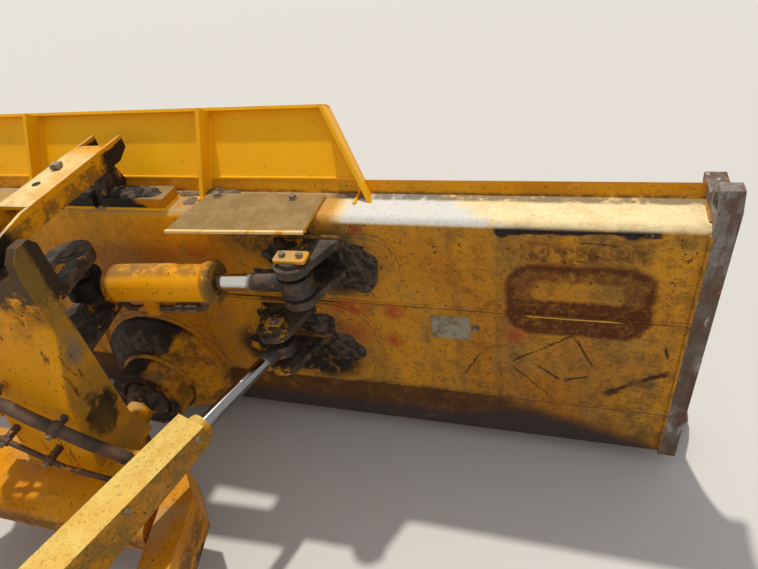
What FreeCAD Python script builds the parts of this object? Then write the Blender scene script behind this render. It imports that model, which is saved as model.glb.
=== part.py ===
import FreeCAD, Part
import math
import os
import Sketcher
from FreeCAD import Placement, Rotation, Vector

# A six-way dozer blade on its push frame, in millimetres: +X right, +Y forward, +Z up.
# The frame's rear trunnion axis is the X axis. Shapes are drawn from the ground below the
# middle of the blade's rear face, and placed from there.

doc = FreeCAD.newDocument("dozer_blade")

# Driving sizes: name, value, what it is
SIZES = [
    ("face_ahead", 2250, "trunnion axis to the blade's rear face"),
    ("axle_height", 450, "ground to the trunnion axis"),
    ("half_width", 1900, "middle to an end plate's inner face"),
    ("seat_gap", 0.3, "gap between curved faces that touch"),
    # blade section
    ("beam_height", 1018, "ground to the top of the upper beam"),
    ("seam_drop", 330, "top of the upper beam down to its seam"),
    ("weld_height", 285, "ground to the top of the lower beam"),
    ("base_height", 63, "ground to the underside of the lower beam"),
    ("plate", 12, "rear plates"),
    ("bend", 30, "outside radius of the upper beam's bend"),
    ("mold_radius", 1066, "moldboard's rear face"),
    ("mold_centre", 551, "height of the moldboard's centre of curvature"),
    ("mold_plate", 16, "moldboard"),
    ("mold_foot", 76, "height of the moldboard's lower edge"),
    ("belly_gap", 38, "rear face to the moldboard's rearmost point"),
    ("lip", 38, "moldboard above the upper beam"),
    # cutting edges and end plates
    ("edge_plate", 25, "cutting edge"),
    ("edge_reach", 230, "height of the cutting edge's plates"),
    ("edge_gap", 4, "gap between two cutting edge plates"),
    ("bit_width", 330, "end bit"),
    ("bit_flare", 30, "end bit beyond the end plate at its foot"),
    ("end_plate", 55, "end plate"),
    ("end_proud", 45, "end plate ahead of the moldboard"),
    ("eye_ahead", 45, "lifting eye ahead of the rear face"),
    ("eye_above", 52, "lifting eye above the upper beam"),
    ("eye_bore", 28, "lifting eye"),
    ("eye_wall", 22, "steel round the lifting eye"),
    # spill guard
    ("guard_length", 231, "guard along its slope"),
    ("guard_lean", 35, "degrees that the guard leans forward"),
    ("guard_sheet", 10, "guard"),
    ("guard_top_half", 803, "half width at the top"),
    ("guard_base_half", 930, "half width at the base"),
    ("guard_hem", 26, "rearward hem along the top"),
    ("rib_place", 365, "middle to a rib"),
    ("rib_plate", 14, "rib"),
    ("rib_depth", 72, "rib's depth at the top"),
    ("rib_foot", 55, "rib's depth at the beam"),
    # centre ball and its socket
    ("ball_back", 190, "rear face to the ball's centre"),
    ("ball_height", 268, "ground to the ball's centre"),
    ("ball_radius", 90, "centre ball"),
    ("boss_foot", 272, "radius of the socket's boss at its foot"),
    ("boss_edge", 40, "rear face to the boss's edge"),
    ("boss_top", 118, "rear face to where the boss meets the collar"),
    ("socket_collar", 148, "radius of the socket's collar"),
    ("socket_back", 213, "rear face to the collar's rear"),
    ("socket_mouth", 104, "radius of the socket's mouth"),
    ("socket_hold", 12, "seat behind the ball's middle"),
    ("doubler", 12, "doubler plates"),
    ("doubler_round", 290, "radius of the centre doubler"),
    # tilt cylinder
    ("tilt_base_drop", 163, "top of the upper beam down to the base bearing"),
    ("tilt_eye_side", 775, "middle to the rod's eye"),
    ("tilt_eye_back", 140, "rear face to the rod's eye"),
    ("tilt_eye_drop", 138, "top of the upper beam down to the rod's eye"),
    ("tilt_barrel", 63, "barrel radius"),
    ("tilt_barrel_start", 112, "base pin to the barrel's foot"),
    ("tilt_barrel_end", 485, "base pin to the barrel's front"),
    ("tilt_gland", 71, "gland radius"),
    ("tilt_gland_end", 508, "base pin to the gland's front"),
    ("tilt_rod", 28, "rod radius"),
    ("tilt_bore", 53, "barrel's bore radius"),
    ("tilt_pin", 25, "pin radius"),
    ("tilt_ball", 46, "base bearing ball radius"),
    ("tilt_lug_gap", 85, "base pin's middle to a lug"),
    ("tilt_lug", 40, "base lug thickness"),
    ("tilt_eye_half", 32, "half height of the rod's eye"),
    ("tilt_eye_round", 55, "rod's eye radius"),
    ("tilt_eye_neck", 31, "radius of the rod where it meets its eye"),
    ("tilt_ear_gap", 46, "rod's eye centre to an ear"),
    ("tilt_ear", 28, "ear thickness"),
    ("tilt_ear_round", 56, "ear radius"),
    ("tilt_ear_foot", 112, "half width of an ear at the blade"),
    ("tilt_pad_inner", 345, "rod's eye to its doubler's inner end"),
    ("tilt_pad_outer", 287, "rod's eye to its doubler's outer end"),
    # angle cylinders
    ("angle_eye_side", 640, "middle to the rod's eye"),
    ("angle_eye_back", 130, "rear face to the rod's eye"),
    ("angle_eye_height", 580, "rod's eye above the ground"),
    ("angle_base_side", 320, "middle to the base pin"),
    ("angle_base_back", 1180, "rear face to the base pin"),
    ("angle_base_height", 600, "base pin above the ground"),
    ("angle_barrel", 45, "barrel radius"),
    ("angle_barrel_start", 84, "base pin to the barrel's foot"),
    ("angle_barrel_end", 705, "base pin to the barrel's front"),
    ("angle_bore", 37, "barrel's bore radius"),
    ("angle_rod", 23, "rod radius"),
    ("angle_pin", 22, "pin radius"),
    ("angle_ball", 44, "base bearing ball radius"),
    ("angle_lug_gap", 60, "base pin's middle to a lug"),
    ("angle_lug", 32, "base lug thickness"),
    ("angle_eye_half", 24, "half height of the rod's eye"),
    ("angle_eye_round", 48, "rod's eye radius"),
    ("angle_eye_neck", 28, "radius of the rod where it meets its eye"),
    ("angle_ear_gap", 64, "rod's eye centre to an ear"),
    ("angle_ear", 26, "ear thickness"),
    ("angle_ear_round", 62, "ear radius"),
    ("angle_ear_foot", 104, "half width of an ear at the blade"),
    ("angle_pad_outer", 306, "rod's eye to its doubler's outer end"),
    ("cover_half", 54, "half width of a cylinder's channel cover"),
    ("cover_sheet", 8, "channel cover"),
    ("cover_skirt", 76, "depth of the cover's sides at its front"),
    ("cover_deep", 145, "depth of the cover's sides at its foot"),
    ("cover_start", 95, "base pin to the cover's foot"),
    ("cover_end", 690, "base pin to the cover's front"),
    # top link
    ("link_front", 110, "rear face forward to the front joint"),
    ("link_rear", 420, "rear face back to the rear joint"),
    ("link_above", 134, "both joints above the upper beam"),
    ("link_half", 62, "half width of the link's channel"),
    ("link_sheet", 12, "channel"),
    ("link_rise", 60, "joint to the channel's top"),
    ("link_skirt", 72, "depth of the channel's sides"),
    ("link_fork", 78, "front joint to the tips of the channel's sides"),
    ("link_plate_rear", 150, "rear joint to the channel's top plate"),
    ("link_plate_front", 2, "front joint back to the end of the top plate"),
    ("link_box_half", 265, "middle to the end of a box beside the link's bracket"),
    ("link_box_rise", 40, "height of those boxes"),
    ("link_ball", 34, "joint balls"),
    ("link_stem", 20, "ball stem radius"),
    # push frame
    ("tower_half", 150, "half width of the tower"),
    ("stud_height", 47, "tower's head to the link's rear joint"),
    ("tower_front", 412, "rear face back to the tower's column"),
    ("tower_head", 103, "fore-and-aft length of the tower's head"),
    ("tower_spread", 110, "how far the tower's rear slopes out below its head"),
    ("cheek", 34, "cheek beside the link's rear joint"),
    ("cheek_rise", 84, "cheek above the tower's head"),
    ("tower_round", 24, "radius of the tower's rear edges"),
    ("cross_front", 520, "rear face back to the crossmember"),
    ("cross_back", 780, "rear face back to the crossmember's rear"),
    ("cross_low", 250, "ground to the crossmember"),
    ("cross_high", 420, "ground to the crossmember's top"),
    ("cross_round", 60, "radius of its rear edges"),
    ("nose_low", 190, "ground to the nose"),
    ("nose_high", 330, "ground to the nose's top"),
    ("nose_stem", 52, "radius behind the ball"),
    ("arm_inside", 400, "middle to an arm"),
    ("arm_flare", 100, "how far an arm spreads to the rear"),
    ("arm_flare_start", 600, "rear face back to where the arms spread"),
    ("arm_flare_end", 1050, "rear face back to where they run straight again"),
    ("arm_width", 100, "arm"),
    ("arm_corner", 640, "rear face back to the end of the arm's bevelled corner"),
    ("arm_bend", 1300, "rear face back to where the arms rise"),
    ("arm_end_half", 70, "half height of an arm at its trunnion"),
    ("trunnion_ring", 82, "trunnion eye radius"),
    ("trunnion_bore", 35, "trunnion bore radius"),
    ("trunnion_width", 130, "trunnion eye along its axis"),
    ("lift_lug", 19, "lift lug thickness"),
    ("lift_round", 46, "lug radius"),
    ("lift_bore", 25, "lift pin bore radius"),
    ("lift_back", 1500, "rear face back to the lift pins"),
    ("lift_rise", 75, "arm's top to the lift pins"),
    # hydraulic lines
    ("hose_radius", 20, "large hose"),
    ("tube_radius", 9, "small tube"),
    ("line_radius", 11, "line under the tilt barrel"),
    ("clamp_wall", 5, "clamp round a line"),
]

sheet = doc.addObject("Spreadsheet::Sheet", "sizes")
for row, (alias, amount, meaning) in enumerate(SIZES, start=1):
    sheet.set("A%d" % row, meaning)
    sheet.set("B%d" % row, str(amount))
    sheet.setAlias("B%d" % row, alias)
doc.recompute()


class Size:
    """A number that also keeps the sheet formula it comes from."""

    def __init__(self, value, formula):
        self.value = float(value)
        self.formula = formula

    def __add__(self, other):
        other = as_size(other)
        return Size(self.value + other.value, "(%s + %s)" % (self.formula, other.formula))

    def __sub__(self, other):
        other = as_size(other)
        return Size(self.value - other.value, "(%s - %s)" % (self.formula, other.formula))

    def __mul__(self, other):
        other = as_size(other)
        return Size(self.value * other.value, "(%s * %s)" % (self.formula, other.formula))

    def __truediv__(self, other):
        other = as_size(other)
        return Size(self.value / other.value, "(%s / %s)" % (self.formula, other.formula))

    def __neg__(self):
        return Size(-self.value, "(0 - %s)" % self.formula)

    def __radd__(self, other):
        return as_size(other) + self

    def __rsub__(self, other):
        return as_size(other) - self

    def __rmul__(self, other):
        return as_size(other) * self


def as_size(amount):
    if isinstance(amount, Size):
        return amount
    return Size(amount, "%.9g" % amount if amount >= 0 else "(0 - %.9g)" % -amount)


def root(amount):
    return Size(math.sqrt(amount.value), "sqrt(%s)" % amount.formula)


class Sheet:
    """Every size of the sheet by its name."""


s = Sheet()
for alias, amount, meaning in SIZES:
    setattr(s, alias, Size(sheet.get(alias), "sizes." + alias))


# Heights that follow the top of the upper beam
s.seam_height = s.beam_height - s.seam_drop
s.eye_height = s.beam_height + s.eye_above
s.link_height = s.beam_height + s.link_above
s.tower_top = s.link_height - s.stud_height
s.tilt_base_height = s.beam_height - s.tilt_base_drop
s.tilt_eye_height = s.beam_height - s.tilt_eye_drop


def bind(item, prop, amount):
    amount = as_size(amount)
    if "sizes." in amount.formula:
        item.setExpression(prop, amount.formula)


def put(item, x=0, y=0, z=0, turn=None):
    """Place an item at a point measured from the ground below the blade's rear face."""
    spot = [as_size(x), s.face_ahead + y, as_size(z) - s.axle_height]
    item.Placement = Placement(Vector(*[c.value for c in spot]), turn or Rotation())
    for name, c in zip("xyz", spot):
        bind(item, "Placement.Base." + name, c)
    return item


# Bodies and their features
parts = {}
UP, RIGHT = Vector(0, 0, 1), Vector(1, 0, 0)
REARWARD = Rotation(RIGHT, 90)


def keep(label, item):
    item.Label = label
    parts[label] = item
    return item


def new_body(name):
    body = doc.addObject("PartDesign::Body", name)
    body.AllowCompound = True
    return body


def sketch_on(body, plane, offset):
    sketch = body.newObject("Sketcher::SketchObject", body.Name + "_sketch")
    role = plane + "_Plane"
    face = [f for f in body.Origin.OriginFeatures if f.Role == role][0]
    sketch.AttachmentSupport = [(face, "")]
    sketch.MapMode = "FlatFace"
    offset = as_size(offset)
    sketch.AttachmentOffset = Placement(Vector(0, 0, offset.value), Rotation())
    bind(sketch, "AttachmentOffset.Base.z", offset)
    return sketch


def pin_point(sketch, element, end, u, v):
    """Fix a sketch point at u, v from the origin."""
    for kind, amount in (("DistanceX", u), ("DistanceY", v)):
        amount = as_size(amount)
        index = sketch.addConstraint(Sketcher.Constraint(kind, element, end, amount.value))
        bind(sketch, "Constraints[%d]" % index, amount)


def draw_outline(sketch, points):
    flat = [Vector(as_size(u).value, as_size(v).value, 0) for u, v in points]
    count = len(flat)
    for i in range(count):
        sketch.addGeometry(Part.LineSegment(flat[i], flat[(i + 1) % count]), False)
    for i in range(count):
        sketch.addConstraint(Sketcher.Constraint("Coincident", i, 2, (i + 1) % count, 1))
    for i, (u, v) in enumerate(points):
        pin_point(sketch, i, 1, u, v)


def draw_circle(sketch, u, v, radius):
    u, v, radius = as_size(u), as_size(v), as_size(radius)
    spot = Vector(u.value, v.value, 0)
    element = sketch.addGeometry(Part.Circle(spot, UP, radius.value), False)
    pin_point(sketch, element, 3, u, v)
    index = sketch.addConstraint(Sketcher.Constraint("Radius", element, radius.value))
    bind(sketch, "Constraints[%d]" % index, radius)


def slab(body, plane, low, high, outline=None, circle=None):
    """Pad an outline or a circle between two distances along the plane's axis."""
    low, high = as_size(low), as_size(high)
    sketch = sketch_on(body, plane, -high if plane == "XZ" else low)
    if outline:
        draw_outline(sketch, outline)
    if circle:
        draw_circle(sketch, *circle)
    pad = body.newObject("PartDesign::Pad", body.Name + "_pad")
    pad.Profile = sketch
    pad.Length = (high - low).value
    bind(pad, "Length", high - low)
    doc.recompute()
    return pad


def pocket(body, plane, low, high, outline=None, circle=None):
    """Cut an outline or a circle between two distances along the plane's axis."""
    low, high = as_size(low), as_size(high)
    before = body.Shape.Volume
    sketch = sketch_on(body, plane, -low if plane == "XZ" else high)
    if outline:
        draw_outline(sketch, outline)
    if circle:
        draw_circle(sketch, *circle)
    cut = body.newObject("PartDesign::Pocket", body.Name + "_pocket")
    cut.Profile = sketch
    cut.Length = (high - low).value
    bind(cut, "Length", high - low)
    doc.recompute()
    if body.Shape.Volume > before - 1:
        raise RuntimeError(body.Name + ": a pocket cuts nothing")
    return cut


def round_corners(body, plane, corners, radius):
    """Fillet the edges that stand on the given sketch corners."""
    feature = body.Tip
    axes = {"XY": (0, 1), "XZ": (0, 2), "YZ": (1, 2)}[plane]
    names = []
    for index, edge in enumerate(feature.Shape.Edges, start=1):
        ends = [v.Point for v in edge.Vertexes]
        for u, v in corners:
            u, v = as_size(u).value, as_size(v).value
            if all(abs(p[axes[0]] - u) < 0.01 and abs(p[axes[1]] - v) < 0.01 for p in ends):
                names.append("Edge%d" % index)
    if len(names) < len(corners):
        raise RuntimeError(body.Name + ": a corner has no edge")
    fillet = body.newObject("PartDesign::Fillet", body.Name + "_fillet")
    fillet.Base = (feature, names)
    fillet.Radius = as_size(radius).value
    bind(fillet, "Radius", radius)
    doc.recompute()
    return fillet


def round_edges(body, wanted, radius):
    """Fillet the edges whose two end points both pass the test."""
    feature = body.Tip
    names = ["Edge%d" % index for index, edge in enumerate(feature.Shape.Edges, start=1)
             if len(edge.Vertexes) == 2 and wanted(*[v.Point for v in edge.Vertexes])]
    if not names:
        raise RuntimeError(body.Name + ": no edge to round")
    fillet = body.newObject("PartDesign::Fillet", body.Name + "_fillet")
    fillet.Base = (feature, names)
    fillet.Radius = as_size(radius).value
    bind(fillet, "Radius", radius)
    doc.recompute()
    return fillet


def route_wire(points, bend):
    """Straight runs between points, joined by arcs that are tangent to both."""
    spots = [Vector(*[as_size(c).value for c in p]) for p in points]
    edges, start = [], spots[0]
    for before, corner, after in zip(spots, spots[1:], spots[2:]):
        back, on = (before - corner).normalize(), (after - corner).normalize()
        half = back.getAngle(on) / 2
        cut = bend / math.tan(half)
        first, last = corner + back * cut, corner + on * cut
        middle = corner + (back + on).normalize() * (bend / math.sin(half) - bend)
        edges += [Part.LineSegment(start, first).toShape(), Part.Arc(first, middle, last).toShape()]
        start = last
    edges.append(Part.LineSegment(start, spots[-1]).toShape())
    return Part.Wire(edges)


def line_solid(points, radius, bend):
    """A round line along a route."""
    wire = route_wire(points, bend)
    first = wire.OrderedEdges[0]
    ring = Part.Wire(Part.Circle(first.valueAt(first.FirstParameter),
                                 first.tangentAt(first.FirstParameter), radius.value).toShape())
    return wire.makePipeShell([ring], True, True)


def turned(name, profile):
    """A body turned about its own Z axis from (radius, along) points."""
    body = new_body(name)
    sketch = sketch_on(body, "XZ", 0)
    draw_outline(sketch, profile)
    turn = body.newObject("PartDesign::Revolution", name + "_turn")
    turn.Profile = sketch
    turn.ReferenceAxis = (sketch, ["V_Axis"])
    turn.Angle = 360
    doc.recompute()
    return body


def ball(name, radius):
    item = doc.addObject("Part::Sphere", name)
    item.Radius = as_size(radius).value
    bind(item, "Radius", radius)
    return item


def rod(name, radius, length):
    item = doc.addObject("Part::Cylinder", name)
    item.Radius = as_size(radius).value
    item.Height = as_size(length).value
    bind(item, "Radius", radius)
    bind(item, "Height", length)
    return item


def fused(name, *items):
    item = doc.addObject("Part::MultiFuse", name)
    item.Shapes = list(items)
    return item


def cut_by(name, base, tool):
    item = doc.addObject("Part::Cut", name)
    item.Base = base
    item.Tool = tool
    return item


def mirror_x(outline):
    return [(-as_size(u), v) for u, v in outline][::-1]


SIDES = [("R", 1), ("L", -1)]


def span(side, low, high):
    """A stretch of X on one side, lowest value first."""
    return (low, high) if side > 0 else (-as_size(high), -as_size(low))


# Blade: moldboard, a plate rolled about one axis
mold_ahead = s.belly_gap + s.mold_radius


def mold_back(height):
    """How far ahead of the rear face the moldboard's rear surface is at a height."""
    rise = height - s.mold_centre
    return mold_ahead - root(s.mold_radius * s.mold_radius - rise * rise)


lip_top = s.beam_height + s.lip
top_angle = math.degrees(math.asin(((lip_top - s.mold_centre) / s.mold_radius).value))
foot_angle = math.degrees(math.asin(((s.mold_centre - s.mold_foot) / s.mold_radius).value))
moldboard = new_body("moldboard")
section = sketch_on(moldboard, "XY", 0)
mold_inner = s.mold_radius - s.mold_plate
draw_outline(section, [(-s.half_width, -s.mold_radius), (s.half_width, -s.mold_radius),
                       (s.half_width, -mold_inner), (-s.half_width, -mold_inner)])
roll = moldboard.newObject("PartDesign::Revolution", "moldboard_roll")
roll.Profile = section
roll.ReferenceAxis = (section, ["H_Axis"])
roll.Angle = top_angle + foot_angle
bind(roll, "Angle", Size(top_angle + foot_angle, "asin(%s) + asin(%s)" % (
    ((lip_top - s.mold_centre) / s.mold_radius).formula,
    ((s.mold_centre - s.mold_foot) / s.mold_radius).formula)))
put(moldboard, 0, mold_ahead, s.mold_centre, Rotation(RIGHT, -top_angle))
keep("moldboard", moldboard)

# Blade: rear plates that close the box section
beam = new_body("top_beam")
slab(beam, "YZ", -s.half_width, s.half_width, [
    (0, s.seam_height), (s.plate, s.seam_height), (s.plate, s.beam_height - s.plate),
    (mold_back(s.beam_height - s.plate) - s.seat_gap, s.beam_height - s.plate),
    (mold_back(s.beam_height) - s.seat_gap, s.beam_height), (0, s.beam_height)])
round_corners(beam, "YZ", [(0, s.beam_height)], s.bend)
round_corners(beam, "YZ", [(s.plate, s.beam_height - s.plate)], s.bend - s.plate)
keep("top_beam", put(beam))

back = new_body("back_plate")
slab(back, "YZ", -s.half_width, s.half_width, [
    (0, s.weld_height), (s.plate, s.weld_height), (s.plate, s.seam_height), (0, s.seam_height)])
keep("back_plate", put(back))

base_front = mold_back(s.mold_foot) + 8
base_top = s.base_height + s.plate
bottom = new_body("bottom_beam")
slab(bottom, "YZ", -s.half_width, s.half_width, [
    (0, s.base_height), (base_front, s.base_height), (base_front, base_top), (s.plate, base_top),
    (s.plate, s.weld_height), (0, s.weld_height)])
round_corners(bottom, "YZ", [(0, s.base_height)], s.bend)
round_corners(bottom, "YZ", [(s.plate, base_top)], s.bend - s.plate)
keep("bottom_beam", put(bottom))

# The cutting edges lie on a chord of the moldboard's foot
edge_top = s.mold_foot + 150
chord_run = (mold_back(s.mold_foot) - mold_back(edge_top)).value
chord_lean = math.degrees(math.atan2(chord_run, (edge_top - s.mold_foot).value))
plate_through = s.mold_plate / math.cos(math.radians(chord_lean))
edge_foot = s.mold_foot / math.cos(math.radians(chord_lean))
edge_seat = mold_back(s.mold_foot) + plate_through + 1


def edge_line(height):
    """How far ahead of the rear face the cutting edges' rear surface is at a height."""
    return edge_seat - (height - s.mold_foot) * math.tan(math.radians(chord_lean))


# Blade: end plates, each with a lifting eye above the beam
end_back = 6
bit_top = s.edge_reach + 12
end_rise = s.eye_height + s.eye_bore + s.eye_wall
eye_back = s.eye_ahead - s.eye_bore - s.eye_wall
front_reach = mold_back(lip_top) + 60
end_outline = [
    (-end_back, s.base_height + 6), (-end_back, s.beam_height), (eye_back, s.eye_height),
    (s.eye_ahead - s.eye_bore, end_rise), (s.eye_ahead + s.eye_bore / 2, end_rise),
    (s.eye_ahead + s.eye_bore + s.eye_wall, s.eye_height + 5), (s.eye_ahead + 70, lip_top),
    (front_reach, lip_top), (front_reach, s.mold_centre), (front_reach, s.base_height + 6)]
for side_name, side in SIDES:
    end = new_body("end_plate_" + side_name)
    low, high = span(side, s.half_width, s.half_width + s.end_plate)
    slab(end, "YZ", low, high, end_outline)
    pocket(end, "YZ", low, high, circle=(mold_ahead, s.mold_centre, mold_inner - s.end_proud))
    pocket(end, "YZ", low, high, [
        (edge_line(0) - 1, 0), (front_reach + 50, 0), (front_reach + 50, bit_top),
        (edge_line(bit_top) - 1, bit_top)])
    pocket(end, "YZ", low, high, circle=(s.eye_ahead, s.eye_height, s.eye_bore))
    keep("end_plate_" + side_name, put(end))

# Blade: cutting edges and end bits, flat plates bolted over the moldboard's foot
edge_turn = Rotation(RIGHT, chord_lean)
edge_half = s.half_width - s.bit_width
edge_step = edge_half * 2 / 3
edges = new_body("cutting_edges")
for index in range(3):
    low = -edge_half + edge_step * index
    slab(edges, "XZ", 0, s.edge_plate, [
        (low + s.edge_gap / 2, -edge_foot), (low + edge_step - s.edge_gap / 2, -edge_foot),
        (low + edge_step - s.edge_gap / 2, s.edge_reach - edge_foot),
        (low + s.edge_gap / 2, s.edge_reach - edge_foot)])
keep("cutting_edges", put(edges, 0, edge_seat, s.mold_foot, edge_turn))

for side_name, side in SIDES:
    outer = s.half_width + s.end_plate
    outline = [(edge_half + s.edge_gap, -edge_foot), (outer + s.bit_flare, -edge_foot),
               (outer, s.edge_reach - edge_foot), (edge_half + s.edge_gap, s.edge_reach - edge_foot)]
    bit = new_body("end_bit_" + side_name)
    slab(bit, "XZ", 0, s.edge_plate, outline if side > 0 else mirror_x(outline))
    keep("end_bit_" + side_name, put(bit, 0, edge_seat, s.mold_foot, edge_turn))

# Blade: spill guard, a leaning sheet on the lip with ribs and end flanges behind it
lean = math.radians(s.guard_lean.value)
guard_turn = Rotation(RIGHT, -s.guard_lean.value)
guard_foot = mold_back(lip_top) + 3
guard = new_body("spill_guard")
slab(guard, "XZ", 0, s.guard_sheet, [
    (-s.guard_base_half, 1), (s.guard_base_half, 1),
    (s.guard_top_half, s.guard_length), (-s.guard_top_half, s.guard_length)])
slab(guard, "XZ", -s.guard_hem, s.guard_sheet, [
    (-s.guard_top_half, s.guard_length - s.guard_sheet),
    (s.guard_top_half, s.guard_length - s.guard_sheet),
    (s.guard_top_half, s.guard_length), (-s.guard_top_half, s.guard_length)])
keep("spill_guard", put(guard, 0, guard_foot, lip_top, guard_turn))

up_y, up_z = math.sin(lean), math.cos(lean)
web_length = s.guard_length - s.guard_sheet
rib_outline = [
    (mold_back(s.beam_height) - s.rib_foot, s.beam_height),
    (mold_back(s.beam_height) - 1, s.beam_height),
    (mold_back(lip_top) - 1, lip_top),
    (guard_foot + web_length * up_y, lip_top + web_length * up_z),
    (guard_foot + web_length * up_y - s.rib_depth * up_z,
     lip_top + web_length * up_z + s.rib_depth * up_y)]
ribs = new_body("guard_ribs")
for side_name, side in SIDES:
    low, high = span(side, s.rib_place - s.rib_plate / 2, s.rib_place + s.rib_plate / 2)
    slab(ribs, "YZ", low, high, rib_outline)
keep("guard_ribs", put(ribs))

# The end flanges follow the guard's slanted ends, so their faces slope in X as well
slant = ((s.guard_base_half - s.guard_top_half) / s.guard_length).value
flange_solids = []
for side_name, side in SIDES:
    corners = []
    for y, z in rib_outline:
        along = (y - guard_foot).value * up_y + (z - lip_top).value * up_z
        x = side * (s.guard_base_half.value - slant * along)
        corners.append(Vector(x, y.value, z.value))
    wire = Part.makePolygon(corners + corners[:1])
    thickness = Vector(-side * s.rib_plate.value, 0, 0)
    flange_solids.append(Part.Face(wire).extrude(thickness))
flanges = doc.addObject("Part::Feature", "guard_flanges")
flanges.Shape = Part.makeCompound(flange_solids)
keep("guard_flanges", put(flanges))

# Blade: doublers welded to the rear face
centre = new_body("centre_doubler")
slab(centre, "XZ", -s.doubler, 0, circle=(0, s.ball_height, s.doubler_round))
below = s.ball_height - s.doubler_round - 5
pocket(centre, "XZ", -s.doubler, 0, [
    (-s.doubler_round, below), (s.doubler_round, below),
    (s.doubler_round, s.base_height + s.bend), (-s.doubler_round, s.base_height + s.bend)])
keep("centre_doubler", put(centre))

pad_low = s.weld_height
pad_high = s.angle_eye_height + s.angle_ear_gap + s.angle_ear + 2
pad_inside = s.doubler_round + 16
pad_outside = s.angle_eye_side + s.angle_pad_outer
lower_outline = [
    (pad_inside, pad_low), (pad_outside, pad_low), (pad_outside, pad_high),
    (pad_inside - 6, pad_high), (pad_inside - 46, s.ball_height + 212)]
tilt_low = s.tilt_eye_height - 160
tilt_high = s.tilt_eye_height + s.tilt_ear_gap + s.tilt_ear + 2
tilt_outline = [
    (s.tilt_eye_side - s.tilt_pad_inner, tilt_low), (s.tilt_eye_side + s.tilt_pad_outer, tilt_low),
    (s.tilt_eye_side + s.tilt_pad_outer, tilt_high), (s.tilt_eye_side - s.tilt_pad_inner, tilt_high)]
pads = new_body("bracket_doublers")
slab(pads, "XZ", -s.doubler, 0, lower_outline)
slab(pads, "XZ", -s.doubler, 0, mirror_x(lower_outline))
slab(pads, "XZ", -s.doubler, 0, tilt_outline)
round_corners(pads, "XZ", [
    (pad_outside, pad_low), (pad_outside, pad_high),
    (-pad_outside, pad_low), (-pad_outside, pad_high)], 165)
round_corners(pads, "XZ", [
    (s.tilt_eye_side + s.tilt_pad_outer, tilt_low), (s.tilt_eye_side + s.tilt_pad_outer, tilt_high)], 100)
keep("bracket_doublers", put(pads))

# Blade: socket that holds the centre ball, on a coned boss cut level at its foot
socket_body = turned("socket_body", [
    (0, s.doubler), (s.boss_foot, s.doubler), (s.boss_foot, s.boss_edge),
    (s.socket_collar, s.boss_top), (s.socket_collar, s.socket_back),
    (s.socket_mouth, s.socket_back), (s.ball_radius - 2, s.ball_back + s.socket_hold),
    (0, s.ball_back + s.socket_hold)])
boss_low = s.base_height + s.bend - s.ball_height
pocket(socket_body, "XY", 0, s.socket_back, [
    (-s.boss_foot, -s.boss_foot - 5), (s.boss_foot, -s.boss_foot - 5),
    (s.boss_foot, boss_low), (-s.boss_foot, boss_low)])
put(socket_body, 0, 0, s.ball_height, REARWARD)
socket_seat = put(ball("socket_seat", s.ball_radius + s.seat_gap), 0, -s.ball_back, s.ball_height)
keep("ball_socket", cut_by("ball_socket", socket_body, socket_seat))


def ear_outline(side, back, reach, half):
    """A lug's plan: straight sides that narrow from its foot to its round end."""
    return [(side - reach, -s.doubler), (side - half, -back), (side + half, -back),
            (side + reach, -s.doubler)]


# Blade: ears of the tilt cylinder and of the angle cylinders
tilt_ears = new_body("tilt_ears")
for low in (s.tilt_eye_height + s.tilt_ear_gap, s.tilt_eye_height - s.tilt_ear_gap - s.tilt_ear):
    high = low + s.tilt_ear
    slab(tilt_ears, "XY", low, high,
         ear_outline(s.tilt_eye_side, s.tilt_eye_back, s.tilt_ear_foot, s.tilt_ear_round))
    slab(tilt_ears, "XY", low, high, circle=(s.tilt_eye_side, -s.tilt_eye_back, s.tilt_ear_round))
    pocket(tilt_ears, "XY", low, high, circle=(s.tilt_eye_side, -s.tilt_eye_back, s.tilt_pin))
keep("tilt_ears", put(tilt_ears))

for side_name, side in SIDES:
    ears = new_body("angle_ears_" + side_name)
    eye_x = s.angle_eye_side * side
    for low in (s.angle_eye_height + s.angle_ear_gap,
                s.angle_eye_height - s.angle_ear_gap - s.angle_ear):
        high = low + s.angle_ear
        slab(ears, "XY", low, high,
             ear_outline(eye_x, s.angle_eye_back, s.angle_ear_foot, s.angle_ear_round))
        slab(ears, "XY", low, high, circle=(eye_x, -s.angle_eye_back, s.angle_ear_round))
        pocket(ears, "XY", low, high, circle=(eye_x, -s.angle_eye_back, s.angle_pin))
    keep("angle_ears_" + side_name, put(ears))

caps = new_body("pin_caps")
cap_places = [
    # x, y, eye's height, gap to an ear, ear, pin, cap radius
    (s.tilt_eye_side, -s.tilt_eye_back, s.tilt_eye_height, s.tilt_ear_gap, s.tilt_ear, s.tilt_pin,
     38),
    (s.angle_eye_side, -s.angle_eye_back, s.angle_eye_height, s.angle_ear_gap, s.angle_ear,
     s.angle_pin, 36),
    (-s.angle_eye_side, -s.angle_eye_back, s.angle_eye_height, s.angle_ear_gap, s.angle_ear,
     s.angle_pin, 36)]
for x, y, height, gap, ear, pin, cap in cap_places:
    for top, turn in ((height + gap + ear, 1), (height - gap - ear, -1)):
        low, high = (top, top + 14) if turn > 0 else (top - 14, top)
        slab(caps, "XY", low, high, circle=(x, y, cap))
        low, high = (top - ear, top) if turn > 0 else (top, top + ear)
        slab(caps, "XY", low, high, circle=(x, y, pin - s.seat_gap))
keep("pin_caps", put(caps))

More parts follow.
